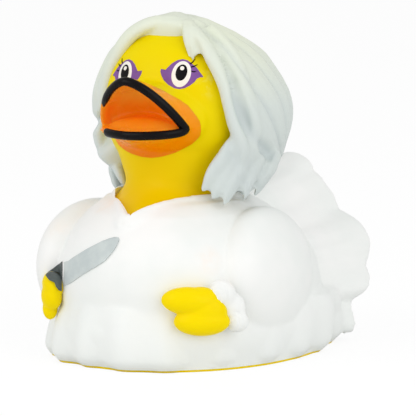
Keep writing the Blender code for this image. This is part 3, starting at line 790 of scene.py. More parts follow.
@dataclass(frozen=True)
class Eyes:
    """Printed eyes: a winged lid colour, the white, the pupil with its glint, and three lashes."""

    centre: Point = (7.9, -24.2, 71.1)
    facing: Point = (0.364, -0.877, 0.314)
    lid: Outline = (
        (-5.3, 1.5), (-4.8, 1.0), (-4.2, 1.05), (-3.4, 1.9), (-2.5, 2.8), (-1.2, 3.6), (0.2, 3.9), (1.4, 3.6),
        (2.6, 2.7), (3.8, 1.7), (4.7, 0.5), (5.6, -0.6), (4.6, -0.75), (3.9, -1.2), (3.4, -2.0), (2.3, -2.9),
        (1.0, -3.6), (-0.4, -3.85), (-1.7, -3.6), (-3.2, -2.7), (-4.4, -1.5), (-5.1, -0.2), (-5.4, 0.8),
    )
    white_half: tuple[float, float] = (2.45, 3.4)
    pupil_half: tuple[float, float] = (1.47, 2.15)
    pupil_middle: tuple[float, float] = (0.05, 0.35)
    glint_radius: float = 0.54
    glint_middle: tuple[float, float] = (0.2, 1.4)
    tilt: float = 12.0
    right_drop: float = 0.7
    layers: tuple[float, float, float, float] = (0.05, 0.1, 0.16, 0.24)
    lash_widths: Row = (0.15, 0.15, 0.05)
    lash_depths: Row = (0.09, 0.09, 0.06)
    lash_height: float = 0.1
    hub: Point = (0.0, -9.0, 64.0)
    lashes: tuple[Outline, ...] = (
        ((2.05, 2.55), (2.7, 3.1), (3.25, 3.95)),
        ((2.3, 1.75), (3.1, 2.0), (3.9, 2.5)),
        ((2.4, 0.75), (3.1, 0.6), (3.75, 0.8)),
    )

    def middle(self, side: Side) -> Vector:
        """The middle of one eye; the right one is printed a little lower."""
        drop = self.right_drop if side is Side.RIGHT else 0.0
        return mm(side.value * self.centre[0], self.centre[1], self.centre[2] - drop)

    def film(
        self, name: str, side: Side, outline: Outline, height: float, ground: BVHTree
    ) -> bpy.types.Object:
        """Prints one layer of an eye.

        Args:
            name: Name of the layer.
            side: Which eye.
            outline: Its outline on the left eye, in millimetres from the eye's middle.
            height: How far it stands proud, in millimetres.
            ground: The skin.

        Returns:
            The closed film.
        """
        sign = side.value
        layer = Film(
            f"{name}_{side.name.lower()}",
            self.middle(side),
            Vector((sign * self.facing[0], *self.facing[1:])),
            tuple((sign * x, y) for x, y in outline),
            height * MM,
        )
        return layer.build(ground)

    def lash(self, index: int, side: Side, ground: BVHTree) -> bpy.types.Object:
        """Prints one tapered lash."""
        sign = side.value
        guide = Film("", self.middle(side), Vector((sign * self.facing[0], *self.facing[1:])), ())
        right, up, out = guide.axes()
        path = []
        for x, y in self.lashes[index]:
            start = guide.centre + right * (sign * x * MM) + up * (y * MM) + out * guide.standoff
            hit = ground.ray_cast(start, -out)[0]
            path.append(tuple(hit / MM + out * self.lash_height))
        name = f"lash_{index}_{side.name.lower()}"
        return Bench.lock(name, path, self.lash_widths, self.lash_depths, mm(*self.hub), 12, 24)

    def build(self, ground: BVHTree, finishes: dict[Coat, bpy.types.Material]) -> None:
        """Prints both eyes.

        Args:
            ground: The bare skin.
            finishes: The inks by slot.
        """
        for side in Side:
            white = oval(*self.white_half, -self.tilt)
            pupil = oval(*self.pupil_half, -self.tilt, *self.pupil_middle)
            glint = oval(self.glint_radius, self.glint_radius, 0.0, *self.glint_middle)
            prints = (
                ("eye_lid", self.lid, Coat.SHADOW),
                ("eye_white", white, Coat.EYE),
                ("eye_pupil", pupil, Coat.LINE),
                ("eye_glint", glint, Coat.EYE),
            )
            for (name, outline, coat), height in zip(prints, self.layers):
                Bench.present(self.film(name, side, outline, height, ground), finishes[coat], coat)
            for index in range(len(self.lashes)):
                Bench.present(self.lash(index, side, ground), finishes[Coat.LINE], Coat.LINE)


@dataclass(frozen=True)
class Hair:
    """The moulded hair: a full mass drawn back inside the face's outline, with rolls, forelock and flicks."""

    mass: tuple[Row, ...] = (
        (38.6, -4.6, 13.2, 12.2),
        (41.0, -5.3, 15.8, 15.4),
        (44.0, -6.0, 18.0, 18.0),
        (46.5, -6.3, 20.2, 20.4),
        (49.0, -6.3, 22.8, 22.9),
        (52.0, -6.0, 23.6, 23.9),
        (57.0, -5.2, 24.6, 25.0),
        (61.0, -5.1, 24.9, 25.2),
        (64.0, -5.6, 24.6, 24.9),
        (67.0, -6.2, 23.7, 24.0),
        (72.0, -7.3, 21.3, 21.6),
        (76.0, -8.2, 18.5, 18.8),
        (80.4, -10.3, 13.0, 13.3),
        (83.8, -12.6, 7.2, 7.4),
        (85.6, -13.5, 0.5, 0.5),
    )
    face_top_start: float = 66.0
    face_top_half_width: float = 17.8
    face_top_rise: float = 15.8
    face_sides: tuple[Row, ...] = (
        (30.0, 16.0),
        (43.0, 15.0),
        (46.0, 15.6),
        (49.5, 18.0),
        (53.0, 20.2),
        (57.0, 19.6),
        (61.0, 18.5),
        (66.0, 17.8),
    )
    hairline: tuple[float, float] = (0.92, 1.12)
    front: tuple[float, float] = (-8.0, -13.0)
    draw: float = 0.55
    head_middle: Point = (0.0, -9.0, 64.0)
    hub: Point = (0.0, -8.0, 62.0)
    parting: Point = (3.0, -15.0, 87.0)
    gather: Point = (21.0, 5.0, 47.0)
    gather_blend: float = 10.0
    voxel: float = 0.46
    strand_depth: float = 1.5
    wide_share: float = 0.6
    wide_count: float = 4.5
    fine_share: float = 0.12
    fine_count: float = 15.5
    sway_depth: float = 0.25
    sway_rate: float = 0.11
    sway_start: float = 1.3
    part_line: tuple[Point, ...] = (
        (9.5, -20.6, 80.4), (11.8, -20.9, 78.3), (15.1, -19.8, 74.6), (18.4, -19.8, 69.8),
        (19.9, -19.4, 65.6), (21.6, -17.2, 60.0), (22.6, -14.8, 55.8), (23.6, -11.0, 52.6),
        (23.2, -6.5, 50.4),
    )
    part_fade: tuple[float, float] = (81.0, 76.0)
    far_line: tuple[Point, ...] = (
        (-17.6, -20.4, 58.6), (-21.4, -17.7, 57.3), (-23.2, -14.0, 56.6), (-24.6, -8.0, 55.8),
        (-24.8, -2.0, 55.0),
    )
    line_reach: float = 1.7

    locks: tuple[tuple[str, tuple[Point, ...], Row, Row], ...] = (
        ("cheek_roll",
         ((5.0, -17.0, 83.2), (10.2, -19.8, 80.2), (15.0, -20.9, 74.6), (18.2, -20.4, 68.0),
          (19.3, -19.4, 60.0), (21.1, -17.8, 52.8), (20.8, -17.4, 48.0)),
         (1.4, 2.0, 2.1, 2.1, 2.2, 2.3, 1.6), (1.4, 1.8, 1.9, 1.9, 2.0, 2.0, 1.6)),
        ("forelock_left",
         ((5.4, -17.6, 83.4), (6.8, -20.2, 81.2), (7.9, -21.6, 78.2), (9.0, -22.2, 74.6)),
         (0.9, 1.2, 1.1, 0.5), (0.9, 1.2, 1.1, 0.5)),
        ("forelock_middle",
         ((6.2, -17.4, 83.6), (8.0, -20.2, 81.2), (9.3, -21.4, 78.0), (9.9, -22.0, 73.6)),
         (0.8, 1.1, 1.0, 0.5), (0.9, 1.35, 1.2, 0.5)),
        ("forelock_right",
         ((7.0, -17.2, 83.4), (9.2, -19.8, 81.0), (10.5, -21.0, 78.2), (11.0, -21.4, 75.4)),
         (0.9, 1.1, 1.0, 0.5), (0.9, 1.2, 1.1, 0.5)),
        ("fringe_sweep",
         ((4.0, -17.0, 83.6), (-3.0, -19.0, 82.8), (-9.2, -19.8, 79.4), (-14.0, -19.8, 72.6),
          (-17.2, -18.8, 65.0), (-20.0, -16.8, 57.0), (-20.0, -15.8, 51.6), (-16.8, -15.4, 46.4)),
         (1.4, 2.1, 2.2, 2.2, 2.2, 2.2, 2.0, 0.9), (1.2, 1.7, 1.8, 1.8, 1.8, 1.8, 1.5, 0.7)),
        ("under_roll",
         ((8.0, -17.2, 82.2), (12.2, -18.6, 78.2), (15.8, -18.4, 73.6), (18.8, -17.6, 67.0),
          (20.4, -16.0, 59.0)),
         (1.6, 2.4, 2.6, 2.6, 1.6), (1.2, 1.5, 1.5, 1.5, 1.1)),
        ("side_lock",
         ((10.0, -15.0, 82.6), (16.4, -16.6, 77.0), (20.6, -15.8, 69.0), (22.2, -14.4, 60.0),
          (22.0, -13.8, 52.0), (20.2, -15.2, 45.6)),
         (1.2, 2.2, 2.6, 2.6, 2.6, 1.4), (1.0, 1.6, 1.8, 1.8, 1.8, 1.1)),
        ("flick_front",
         ((19.2, -18.0, 55.4), (18.0, -20.8, 50.6), (16.2, -23.4, 46.0), (14.2, -25.4, 42.8)),
         (2.2, 3.0, 2.9, 0.5), (1.6, 2.1, 1.7, 0.4)),
        ("flick_front_low",
         ((20.0, -17.4, 52.0), (18.8, -20.4, 46.6), (17.4, -22.7, 43.0), (16.2, -24.0, 40.8)),
         (2.0, 2.6, 2.2, 0.5), (1.5, 2.0, 1.6, 0.4)),
        ("flick_middle",
         ((21.4, -14.6, 53.0), (20.6, -17.8, 46.8), (19.7, -21.4, 42.2), (19.2, -23.4, 39.2)),
         (2.4, 2.7, 2.3, 0.45), (1.8, 1.9, 1.5, 0.4)),
        ("flick_rear",
         ((22.4, -10.0, 52.0), (21.8, -13.0, 46.4), (21.6, -16.0, 42.4), (21.6, -17.8, 39.9)),
         (2.4, 2.7, 2.2, 0.5), (1.6, 1.8, 1.5, 0.45)),
        ("flick_last",
         ((22.8, -3.2, 51.6), (22.4, -6.4, 46.8), (21.8, -9.6, 43.2), (21.2, -11.8, 40.6)),
         (2.6, 3.4, 2.9, 0.8), (1.6, 1.9, 1.6, 0.6)),
        ("flick_right_front",
         ((-19.8, -11.0, 54.0), (-17.8, -12.8, 48.6), (-14.6, -14.6, 44.2), (-12.9, -15.2, 40.8)),
         (2.4, 2.8, 2.6, 0.7), (1.3, 1.6, 1.5, 0.6)),
        ("flick_right_last",
         ((-22.0, -5.0, 52.0), (-20.4, -8.0, 46.0), (-18.4, -10.8, 41.8), (-17.4, -12.0, 39.4)),
         (2.4, 2.6, 2.2, 0.5), (1.3, 1.5, 1.3, 0.4)),
    )

    def face_share(self, point: Vector) -> float:
        """How far a point of the front lies from the middle of the face: 1 is on the hairline."""
        x, z = point.x / MM, point.z / MM
        if z < self.face_top_start:
            return abs(x) / between(self.face_sides, z)[0]
        return math.hypot(x / self.face_top_half_width, (z - self.face_top_start) / self.face_top_rise)

    def form(self) -> bpy.types.Object:
        """The full mass, drawn back into the head inside the outline of the face."""
        middle = mm(*self.head_middle)
        low, high = self.mass[0][0], self.mass[-1][0]

        def place(height: float, angle: float) -> Vector:
            level = low + (high - low) * height
            centre, half_width, half_length = between(self.mass, level)
            if not POLE < height < 1.0 - POLE:
                half_width = half_length = 0.0
            point = mm(half_width * math.cos(angle), centre + half_length * math.sin(angle), level)
            drawn = 1.0 - smooth_step(self.hairline[0], self.hairline[1], self.face_share(point))
            drawn *= smooth_step(self.front[0] * MM, self.front[1] * MM, point.y)
            return point.lerp(middle + (point - middle) * self.draw, drawn)

        return Bench.shaped_sphere("hair_mass", 224, 128, place)

    def phase(self, point: Vector) -> float:
        """Where a point lies round the line from the parting to its side's gathered ends, as an angle."""
        start = mm(*self.parting)
        lean = math.tanh(point.x / (self.gather_blend * MM))
        end = mm(lean * self.gather[0], self.gather[1], self.gather[2])
        axis = (end - start).normalized()
        arm = point - start
        arm = arm - axis * arm.dot(axis)
        side = Vector((1.0, 0.0, 0.0))
        side = (side - axis * side.dot(axis)).normalized()
        return math.atan2(arm.dot(axis.cross(side)), arm.dot(side))

    def line_groove(self, point: Vector, corners: Sequence[Point]) -> float:
        """A deep groove along a line on the hair, for a point near it."""
        nearest = 1.0
        line = [mm(*corner) for corner in corners]
        for start, end in zip(line, line[1:]):
            run = end - start
            share = min(max((point - start).dot(run) / run.length_squared, 0.0), 1.0)
            nearest = min(nearest, (point - start - run * share).length)
        return math.exp(-((nearest / (self.line_reach * MM)) ** 2))

    def strands(self, point: Vector) -> float:
        """How deep the combed grooves lie at a point: 0 on a strand's crest, 1 in the deepest groove."""
        angle = self.phase(point)
        fall = smooth_step(0.0, 10.0 * MM, (mm(*self.parting) - point).length)
        sway = self.sway_depth * math.sin(point.z / MM * self.sway_rate + self.sway_start)
        wide = abs(math.sin(self.wide_count * angle + sway + 0.5 * math.sin(2.0 * angle))) ** 0.7
        fine = abs(math.sin(self.fine_count * angle + 2.0 * sway + 0.6 * math.sin(3.0 * angle))) ** 0.8
        combed = fall * (self.wide_share * (1.0 - wide) + self.fine_share * (1.0 - fine))
        combed *= 1.0 - 0.85 * smooth_step(-13.0, -17.0, point.y / MM) * smooth_step(8.0, 3.0, point.x / MM)
        parted = self.line_groove(point, self.part_line) * smooth_step(*self.part_fade, point.z / MM)
        return max(combed, parted, self.line_groove(point, self.far_line))

    def build(self, finish: bpy.types.Material) -> bpy.types.Object:
        """Models the hair and combs grooves into it.

        Args:
            finish: The hair's paint.

        Returns:
            The dressed piece.
        """
        hub = mm(*self.hub)
        locks = [Bench.lock(name, path, widths, depths, hub) for name, path, widths, depths in self.locks]
        hair = Bench.fuse("hair", [self.form(), *locks], self.voxel * MM, 2)
        Bench.carve(hair, self.strand_depth * MM, self.strands)
        return Bench.present(hair, finish, Coat.HAIR)


@dataclass(frozen=True)
class Gown:
    """The white gown: bodice, two full sleeves with ruffled cuffs, flounce, collar and a scalloped train."""

    bodice: tuple[Row, ...] = (
        (-2.0, -3.0, 28.0, 38.0),
        (0.0, -3.0, 28.5, 38.5),
        (8.0, -5.0, 30.6, 39.4),
        (14.0, -6.0, 30.4, 37.0),
        (20.0, -7.0, 30.4, 36.3),
        (26.0, -8.0, 29.0, 34.5),
        (32.0, -9.5, 25.6, 30.2),
        (37.0, -11.5, 20.6, 24.4),
        (40.0, -12.5, 16.5, 18.5),
        (41.0, -12.5, 9.0, 9.0),
    )
    sleeve_centres: tuple[Point, Point] = ((22.3, -9.2, 21.0), (22.3, -13.0, 21.0))
    sleeve_half: Point = (10.5, 21.4, 17.0)
    puffs: tuple[tuple[Point, Point], ...] = (
        ((25.0, -34.3, 19.6), (3.5, 2.3, 3.5)),
        ((27.8, -31.7, 12.8), (2.9, 2.1, 2.8)),
        ((26.5, -32.2, 16.2), (3.5, 2.0, 3.8)),
    )
    right_cuff_back: float = 2.6
    hem_y: float = -3.0
    hem_half_width: float = 31.6
    hem_half_length: float = 42.0
    flounce_height: float = 15.5
    waves: int = 17
    wave_depth: float = 0.9
    rear_fullness: float = 3.0
    hem_plan: tuple[Row, ...] = (
        (-180.0, -0.5), (-165.0, 0.5), (-150.0, 2.5), (-136.0, 2.4), (-122.0, 1.0), (-105.0, -0.8),
        (-88.0, -0.8), (-75.0, 0.4), (-60.0, -1.2), (-40.0, -2.4), (-20.0, -2.4), (0.0, -2.4),
        (20.0, -3.2), (31.0, -4.4), (42.0, -1.8), (54.0, 2.0), (66.0, 1.6), (90.0, 0.0), (165.0, -0.2), (180.0, -0.5),
    )
    train_hub_z: float = 18.0
    train_rim: tuple[Row, ...] = (
        (0.0, 0.0, 40.0, 46.4),
        (20.0, 9.2, 40.8, 43.4),
        (34.0, 12.6, 41.4, 37.2),
        (50.0, 17.0, 42.4, 32.6),
        (72.0, 23.4, 42.8, 25.6),
        (90.0, 26.2, 40.2, 18.0),
        (100.0, 27.0, 37.4, 13.2),
        (109.0, 25.4, 34.6, 9.2),
        (120.0, 25.6, 31.6, 4.0),
        (134.0, 21.5, 33.0, 0.9),
        (180.0, 0.0, 38.4, 0.8),
    )
    train_notches: tuple[float, ...] = (
        -134.0, -109.0, -89.0, -49.0, -22.0, 0.0, 22.0, 49.0, 89.0, 109.0, 134.0
    )
    lobe_depth: float = 2.2
    train_back: float = 40.5
    neckline: Outline = (
        (1.1, -37.1), (4.9, -32.2), (8.6, -26.2), (13.4, -19.4), (15.0, -11.5), (13.0, -4.0), (7.0, 0.6),
        (0.0, 2.0),
        (-7.0, 0.6), (-13.0, -4.0), (-15.0, -11.5), (-13.3, -20.2), (-8.8, -28.0), (-3.8, -32.9),
    )
    band_widths: Row = (1.2,) * 8
    band_depths: Row = (0.45,) + (0.85,) * 7
    fold_widths: Row = (0.5, 0.6, 0.6, 0.6, 0.6, 0.3)
    fold_depths: Row = (0.3,) * 6
    cuff_turn: float = 32.0
    pleats: float = 22.0
    pleat_share: float = 0.5
    gather_share: float = 0.4
    gather_step: float = 1.1
    fold_depth: float = 0.6
    bottom: float = 0.55
    voxel: float = 0.5
    softening: int = 6
    rear_softening: int = 60

    def body(self) -> bpy.types.Object:
        """The bodice under everything else."""
        return Bench.stacked("bodice", self.bodice, 160, 96, 2.15)

    def sleeve(self, side: Side) -> bpy.types.Object:
        """One full sleeve."""
        sign = side.value
        x, y, z = self.sleeve_centres[0 if side is Side.LEFT else 1]
        centre = mm(sign * x, y, z)
        return Bench.ellipsoid("sleeve", centre, mm(*self.sleeve_half), (-12.0, 0.0, sign * 8.0), 96, 64)

    def cuffs(self, side: Side) -> list[bpy.types.Object]:
        """The gathered puffs round the end of one sleeve."""
        sign = side.value
        turn = (0.0, 0.0, sign * self.cuff_turn)
        back = 0.0 if side is Side.LEFT else self.right_cuff_back
        return [
            Bench.ellipsoid("cuff_puff", mm(sign * (x - 0.5 * back), y + back, z), mm(*half), turn)
            for (x, y, z), half in self.puffs
        ]

    def flounce(self) -> bpy.types.Object:
        """The gathered skirt round the foot."""
        def ripple(angle: float, level: float, point: Vector) -> float:
            share = max(0.0, 1.0 - level / (self.flounce_height * MM))
            rear = 2.0 * max(0.0, math.sin(angle)) * abs(math.cos(angle))
            wave = math.cos(self.waves * angle + 0.5 * math.sin(3.0 * angle))
            plan = between(self.hem_plan, math.degrees(angle))[0]
            fullness = self.rear_fullness * rear + plan * share
            return (self.wave_depth * (0.25 + 0.75 * share) * wave + fullness) * MM

        y, width, length = self.hem_y, self.hem_half_width, self.hem_half_length
        rows = (
            (-2.0, y, width - 3.0, length - 4.5),
            (0.0, y, width - 1.6, length - 2.4),
            (2.5, y, width + 0.4, length),
            (7.0, y - 0.3, width + 0.6, length),
            (12.0, y - 0.8, width, length - 1.4),
            (self.flounce_height, y - 1.2, width - 1.4, length - 2.8),
        )
        return Bench.stacked("flounce", rows, 352, 48, 2.0, ripple)

    def scallop(self, fan: float) -> float:
        """1 at the crown of a lobe of the train's rim and 0 in a notch, for an angle in degrees."""
        for low, high in zip(self.train_notches, self.train_notches[1:]):
            if low <= fan <= high:
                return math.sin(math.pi * (fan - low) / (high - low)) ** 0.85
        return 0.3

    def train(self) -> bpy.types.Object:
        """The gown's back, spread as a fan over the tail, from inside the body out to its rim."""
        hub = mm(0.0, 0.0, self.train_hub_z)
        back_y = self.train_back * MM

        def place(height: float, angle: float) -> Vector:
            fan = (math.degrees(angle - math.pi / 2.0) + 180.0) % 360.0 - 180.0
            x, y, z = (value * MM for value in between(self.train_rim, abs(fan)))
            rim = Vector((-math.copysign(x, fan), 0.0, z))
            rows = (
                (0.0, 0.0, -8.0 * MM - y, 0.0),
                (0.15, 0.55, -6.0 * MM - y, 0.0),
                (0.35, 0.80, 8.0 * MM - y, 0.15),
                (0.5, 0.88, -14.0 * MM, 0.35),
                (0.62, 0.97, -4.0 * MM, 0.9),
                (0.68, 1.0, -1.0 * MM, 1.0),
                (0.74, 0.99, 0.5 * MM, 1.0),
                (0.82, 0.86, -0.6 * MM, 0.8),
                (1.0, 0.0, back_y - y, 0.0),
            )
            share, back, depth = between(rows, height)
            out = rim - hub
            reach = out.length * share + depth * self.lobe_depth * MM * (self.scallop(fan) - 0.6)
            point = hub + out.normalized() * max(reach, 0.0)
            return Vector((point.x, y + back, max(point.z, -2.0 * MM)))

        return Bench.shaped_sphere("train", 288, 88, place)

    def collar(self) -> list[bpy.types.Object]:
        """The two bands along the neckline, crossed in front."""
        hub = mm(0.0, -12.0, 30.0)
        bands = []
        for sign, overlap in ((1.0, 1.4), (-1.0, -0.2)):
            path = (
                (-sign * overlap, -37.6, 35.4), (sign * 1.6, -36.1, 37.2), (sign * 4.9, -32.2, 39.0),
                (sign * 9.2, -26.0, 40.2), (sign * 13.8, -19.0, 40.7), (sign * 15.2, -10.5, 40.8),
                (sign * 9.4, -1.5, 40.6), (0.0, 2.2, 40.0),
            )
            bands.append(Bench.lock("collar", path, self.band_widths, self.band_depths, hub, 24, 96))
            start = path[:len(self.fold_widths)]
            outer = tuple((x * 1.12 + sign * 0.8, y * 1.03, z - 1.1) for x, y, z in start)
            bands.append(Bench.lock("collar_fold", outer, self.fold_widths, self.fold_depths, hub, 16, 72))
        return bands

    def opening(self) -> bpy.types.Object:
        """The solid that opens the neckline downwards."""
        outline = Film("", Vector(), Vector((0.0, -1.0, 0.0)), self.neckline)

        def place(height: float, angle: float) -> Vector:
            x, y = outline.rim(angle)
            share = min(1.0, 10.0 * min(height, 1.0 - height))
            return mm(x * share, -15.0 + (y + 15.0) * share, 30.0 + 30.0 * smooth_step(0.1, 0.9, height))

        return Bench.shaped_sphere("neck_opening", 160, 40, place)

    def rear_share(self, point: Vector) -> float:
        """1 where the train runs into sleeves and flounce, and 0 in front, at the rim and at the hem."""
        x, y, z = (value / MM for value in point)
        rim = smooth_step(42.0, 37.0, y)
        return smooth_step(4.0, 14.0, y) * rim * smooth_step(3.0, 8.0, z) * smooth_step(40.0, 32.0, z)

    def folds(self, point: Vector) -> float:
        """How deep the cloth's soft folds lie at a point, from 0 to 1."""
        x, y, z = (value / MM for value in point)
        fan = math.atan2(z - self.train_hub_z, abs(x) + 1e-6)
        reach = math.hypot(x, z - self.train_hub_z)
        on_train = smooth_step(10.0, 22.0, y) * smooth_step(6.0, 16.0, reach)
        pleats = (0.5 - 0.5 * math.cos(self.pleats * fan + 2.0 * math.sin(3.0 * fan))) ** 1.6
        fade = 1.0 - 0.7 * smooth_step(30.0, 40.0, y)
        gathers = 0.0
        for (px, py, pz), half in self.puffs[:2]:
            away = math.dist((abs(x), y, z), (px, py - half[1], pz))
            ring = (0.5 - 0.5 * math.cos(TURN * away / self.gather_step)) ** 2
            gathers += (1.0 - smooth_step(2.6, 3.6, away)) * ring
        return min(1.0, self.pleat_share * on_train * pleats * fade + self.gather_share * gathers)

    def build(self, finish: bpy.types.Material) -> bpy.types.Object:
        """Models the gown.

        Args:
            finish: The gown's paint.

        Returns:
            The gown's bare form, that the foot and the knife are made from.
        """
        forms = [self.body(), self.flounce(), self.train(), *self.collar()]
        for side in Side:
            forms += [self.sleeve(side), *self.cuffs(side)]
        gown = Bench.fuse("gown", forms, self.voxel * MM, self.softening)
        Bench.soften(gown, self.rear_softening, self.rear_share)
        Bench.carve(gown, self.fold_depth * MM, self.folds)
        bare = Bench.copy(gown, "bare_gown")
        Bench.combine(gown, self.opening(), "DIFFERENCE")
        Bench.level_off(gown, self.bottom * MM)
        Bench.present(gown, finish, Coat.GOWN)
        return bare


@dataclass(frozen=True)
class Hands:
    """Mitten hands that come out of the cuffs, each in two lobes."""

    turn: float = 33.0
    far_turn: float = -40.0
    voxel: float = 0.32

    def build(self, finish: bpy.types.Material) -> bpy.types.Object:
        """Models both hands.

        Args:
            finish: The vinyl.

        Returns:
            A bare copy of the right hand, that the knife's handle is laid on.
        """
        left = [
            Bench.ellipsoid("hand_upper", mm(19.3, -39.1, 17.9), mm(7.2, 3.0, 3.5), (0.0, 4.0, self.turn)),
            Bench.ellipsoid("knuckles", mm(21.0, -37.6, 18.5), mm(4.6, 2.6, 2.9), (0.0, 0.0, self.turn)),
            Bench.ellipsoid("palm", mm(22.0, -37.1, 15.2), mm(5.4, 3.0, 4.6), (0.0, 0.0, self.turn)),
            Bench.ellipsoid("hand_lower", mm(21.4, -37.5, 13.0), mm(6.8, 3.4, 3.5), (0.0, 0.0, self.turn)),
        ]
        right = [
            Bench.ellipsoid("fist", mm(-21.4, -36.4, 19.0), mm(3.9, 2.6, 3.0), (0.0, 24.0, self.far_turn)),
            Bench.ellipsoid("fingers", mm(-21.7, -36.6, 16.2), mm(3.5, 2.5, 3.6), (0.0, 0.0, self.far_turn)),
            Bench.ellipsoid("thumb", mm(-22.4, -36.2, 13.0), mm(1.9, 1.9, 2.8), (0.0, 0.0, self.far_turn)),
        ]
        for name, forms in (("hand_left", left), ("hand_right", right)):
            hand = Bench.fuse(name, forms, self.voxel * MM, 3)
            bare = Bench.copy(hand, "bare_hand")
            Bench.present(hand, finish, Coat.SKIN)
            if name == "hand_left":
                bpy.data.objects.remove(bare)
        return bare


@dataclass(frozen=True)
class Knife:
    """A kitchen knife in low relief across the gown, held in the right hand."""

    centre: Point = (-10.3, -36.3, 25.2)
    facing: Point = (0.497, -0.86, 0.113)
    blade: Outline = (
        (-7.0, 0.0), (-5.9, 0.3), (-4.5, 1.3), (-1.2, 3.3), (2.5, 5.2), (4.6, 6.0), (5.9, 6.3), (6.8, 6.2),
        (7.0, 5.6), (6.5, 4.4), (5.8, 3.2), (4.6, 1.7), (3.2, 0.2), (0.4, -1.5), (-2.6, -3.3), (-5.4, -5.3),
        (-7.0, -6.1),
    )
    handle: Outline = (
        (-7.4, 0.2), (-7.4, -7.2), (-8.1, -7.0), (-8.8, -6.1), (-9.2, -5.0), (-10.6, -4.4), (-11.6, -3.2),
        (-11.0, -2.4), (-10.1, -1.8),
    )
    blade_height: float = 0.55
    handle_height: float = 0.75
    sunk: float = 0.8

    def plate(
        self, name: str, outline: Outline, height: float, ground: BVHTree
    ) -> bpy.types.Object:
        """One plate laid on the gown.

        Args:
            name: Name of the plate.
            outline: Its outline along the direction that it is laid from, in millimetres.
            height: Its relief in millimetres.
            ground: The gown's surface.

        Returns:
            The closed plate.
        """
        film = Film(
            name, mm(*self.centre), Vector(self.facing), outline, height * MM, self.sunk * MM, segments=240
        )
        return film.build(ground)

    def build(self, ground: BVHTree, finishes: dict[Coat, bpy.types.Material]) -> None:
        """Models blade and handle.

        Args:
            ground: The gown's surface.
            finishes: The paints by slot.
        """
        blade = self.plate("knife_blade", self.blade, self.blade_height, ground)
        Bench.present(blade, finishes[Coat.BLADE], Coat.BLADE)
        handle = self.plate("knife_handle", self.handle, self.handle_height, ground)
        Bench.present(handle, finishes[Coat.HANDLE], Coat.HANDLE)


@dataclass(frozen=True)
class Foot:
    """The unpainted edge under the gown, with the dish and the vent in the middle of the foot."""

    top: float = 0.9
    inset: float = 0.12
    dish_radius: float = 7.0
    dish_depth: float = 0.8
    vent_radius: float = 1.5
    vent_depth: float = 4.0
    drill_start: float = 2.0

    def drill(self, name: str, radius: float, depth: float) -> bpy.types.Object:
        """A round cutter that enters the foot from below."""
        Bench.clear()
        top, low = depth * MM, -self.drill_start * MM
        bpy.ops.mesh.primitive_cylinder_add(
            vertices=64, radius=radius * MM, depth=top - low, location=(0.0, -SEAT.y, 0.5 * (top + low))
        )
        bpy.ops.object.transform_apply(location=True, rotation=True, scale=True)
        cutter = bpy.context.object
        cutter.name = name
        return cutter

    def build(self, gown: bpy.types.Object, finish: bpy.types.Material) -> None:
        """Cuts the foot out of the gown's own outline.

        Args:
            gown: The gown's bare form, which is used up.
            finish: The vinyl.
        """
        gown.name = "foot"
        Bench.swell(gown, -self.inset * MM)
        Bench.level_off(gown, 0.0)
        Bench.level_off(gown, self.top * MM, below=True)
        Bench.combine(gown, self.drill("dish", self.dish_radius, self.dish_depth), "DIFFERENCE")
        Bench.combine(gown, self.drill("vent", self.vent_radius, self.vent_depth), "DIFFERENCE")
        Bench.present(gown, finish, Coat.SKIN)


# ---------------------------------------------------------------- finishes


Colour = tuple[float, float, float, float]
Socket = bpy.types.NodeSocket


def paint_colour(red: int, green: int, blue: int) -> Colour:
    """A linear colour from the 0 to 255 values of a paint card."""
    def linear(value: int) -> float:
        share = value / 255.0
        return share / 12.92 if share <= 0.04045 else ((share + 0.055) / 1.055) ** 2.4

    return linear(red), linear(green), linear(blue), 1.0


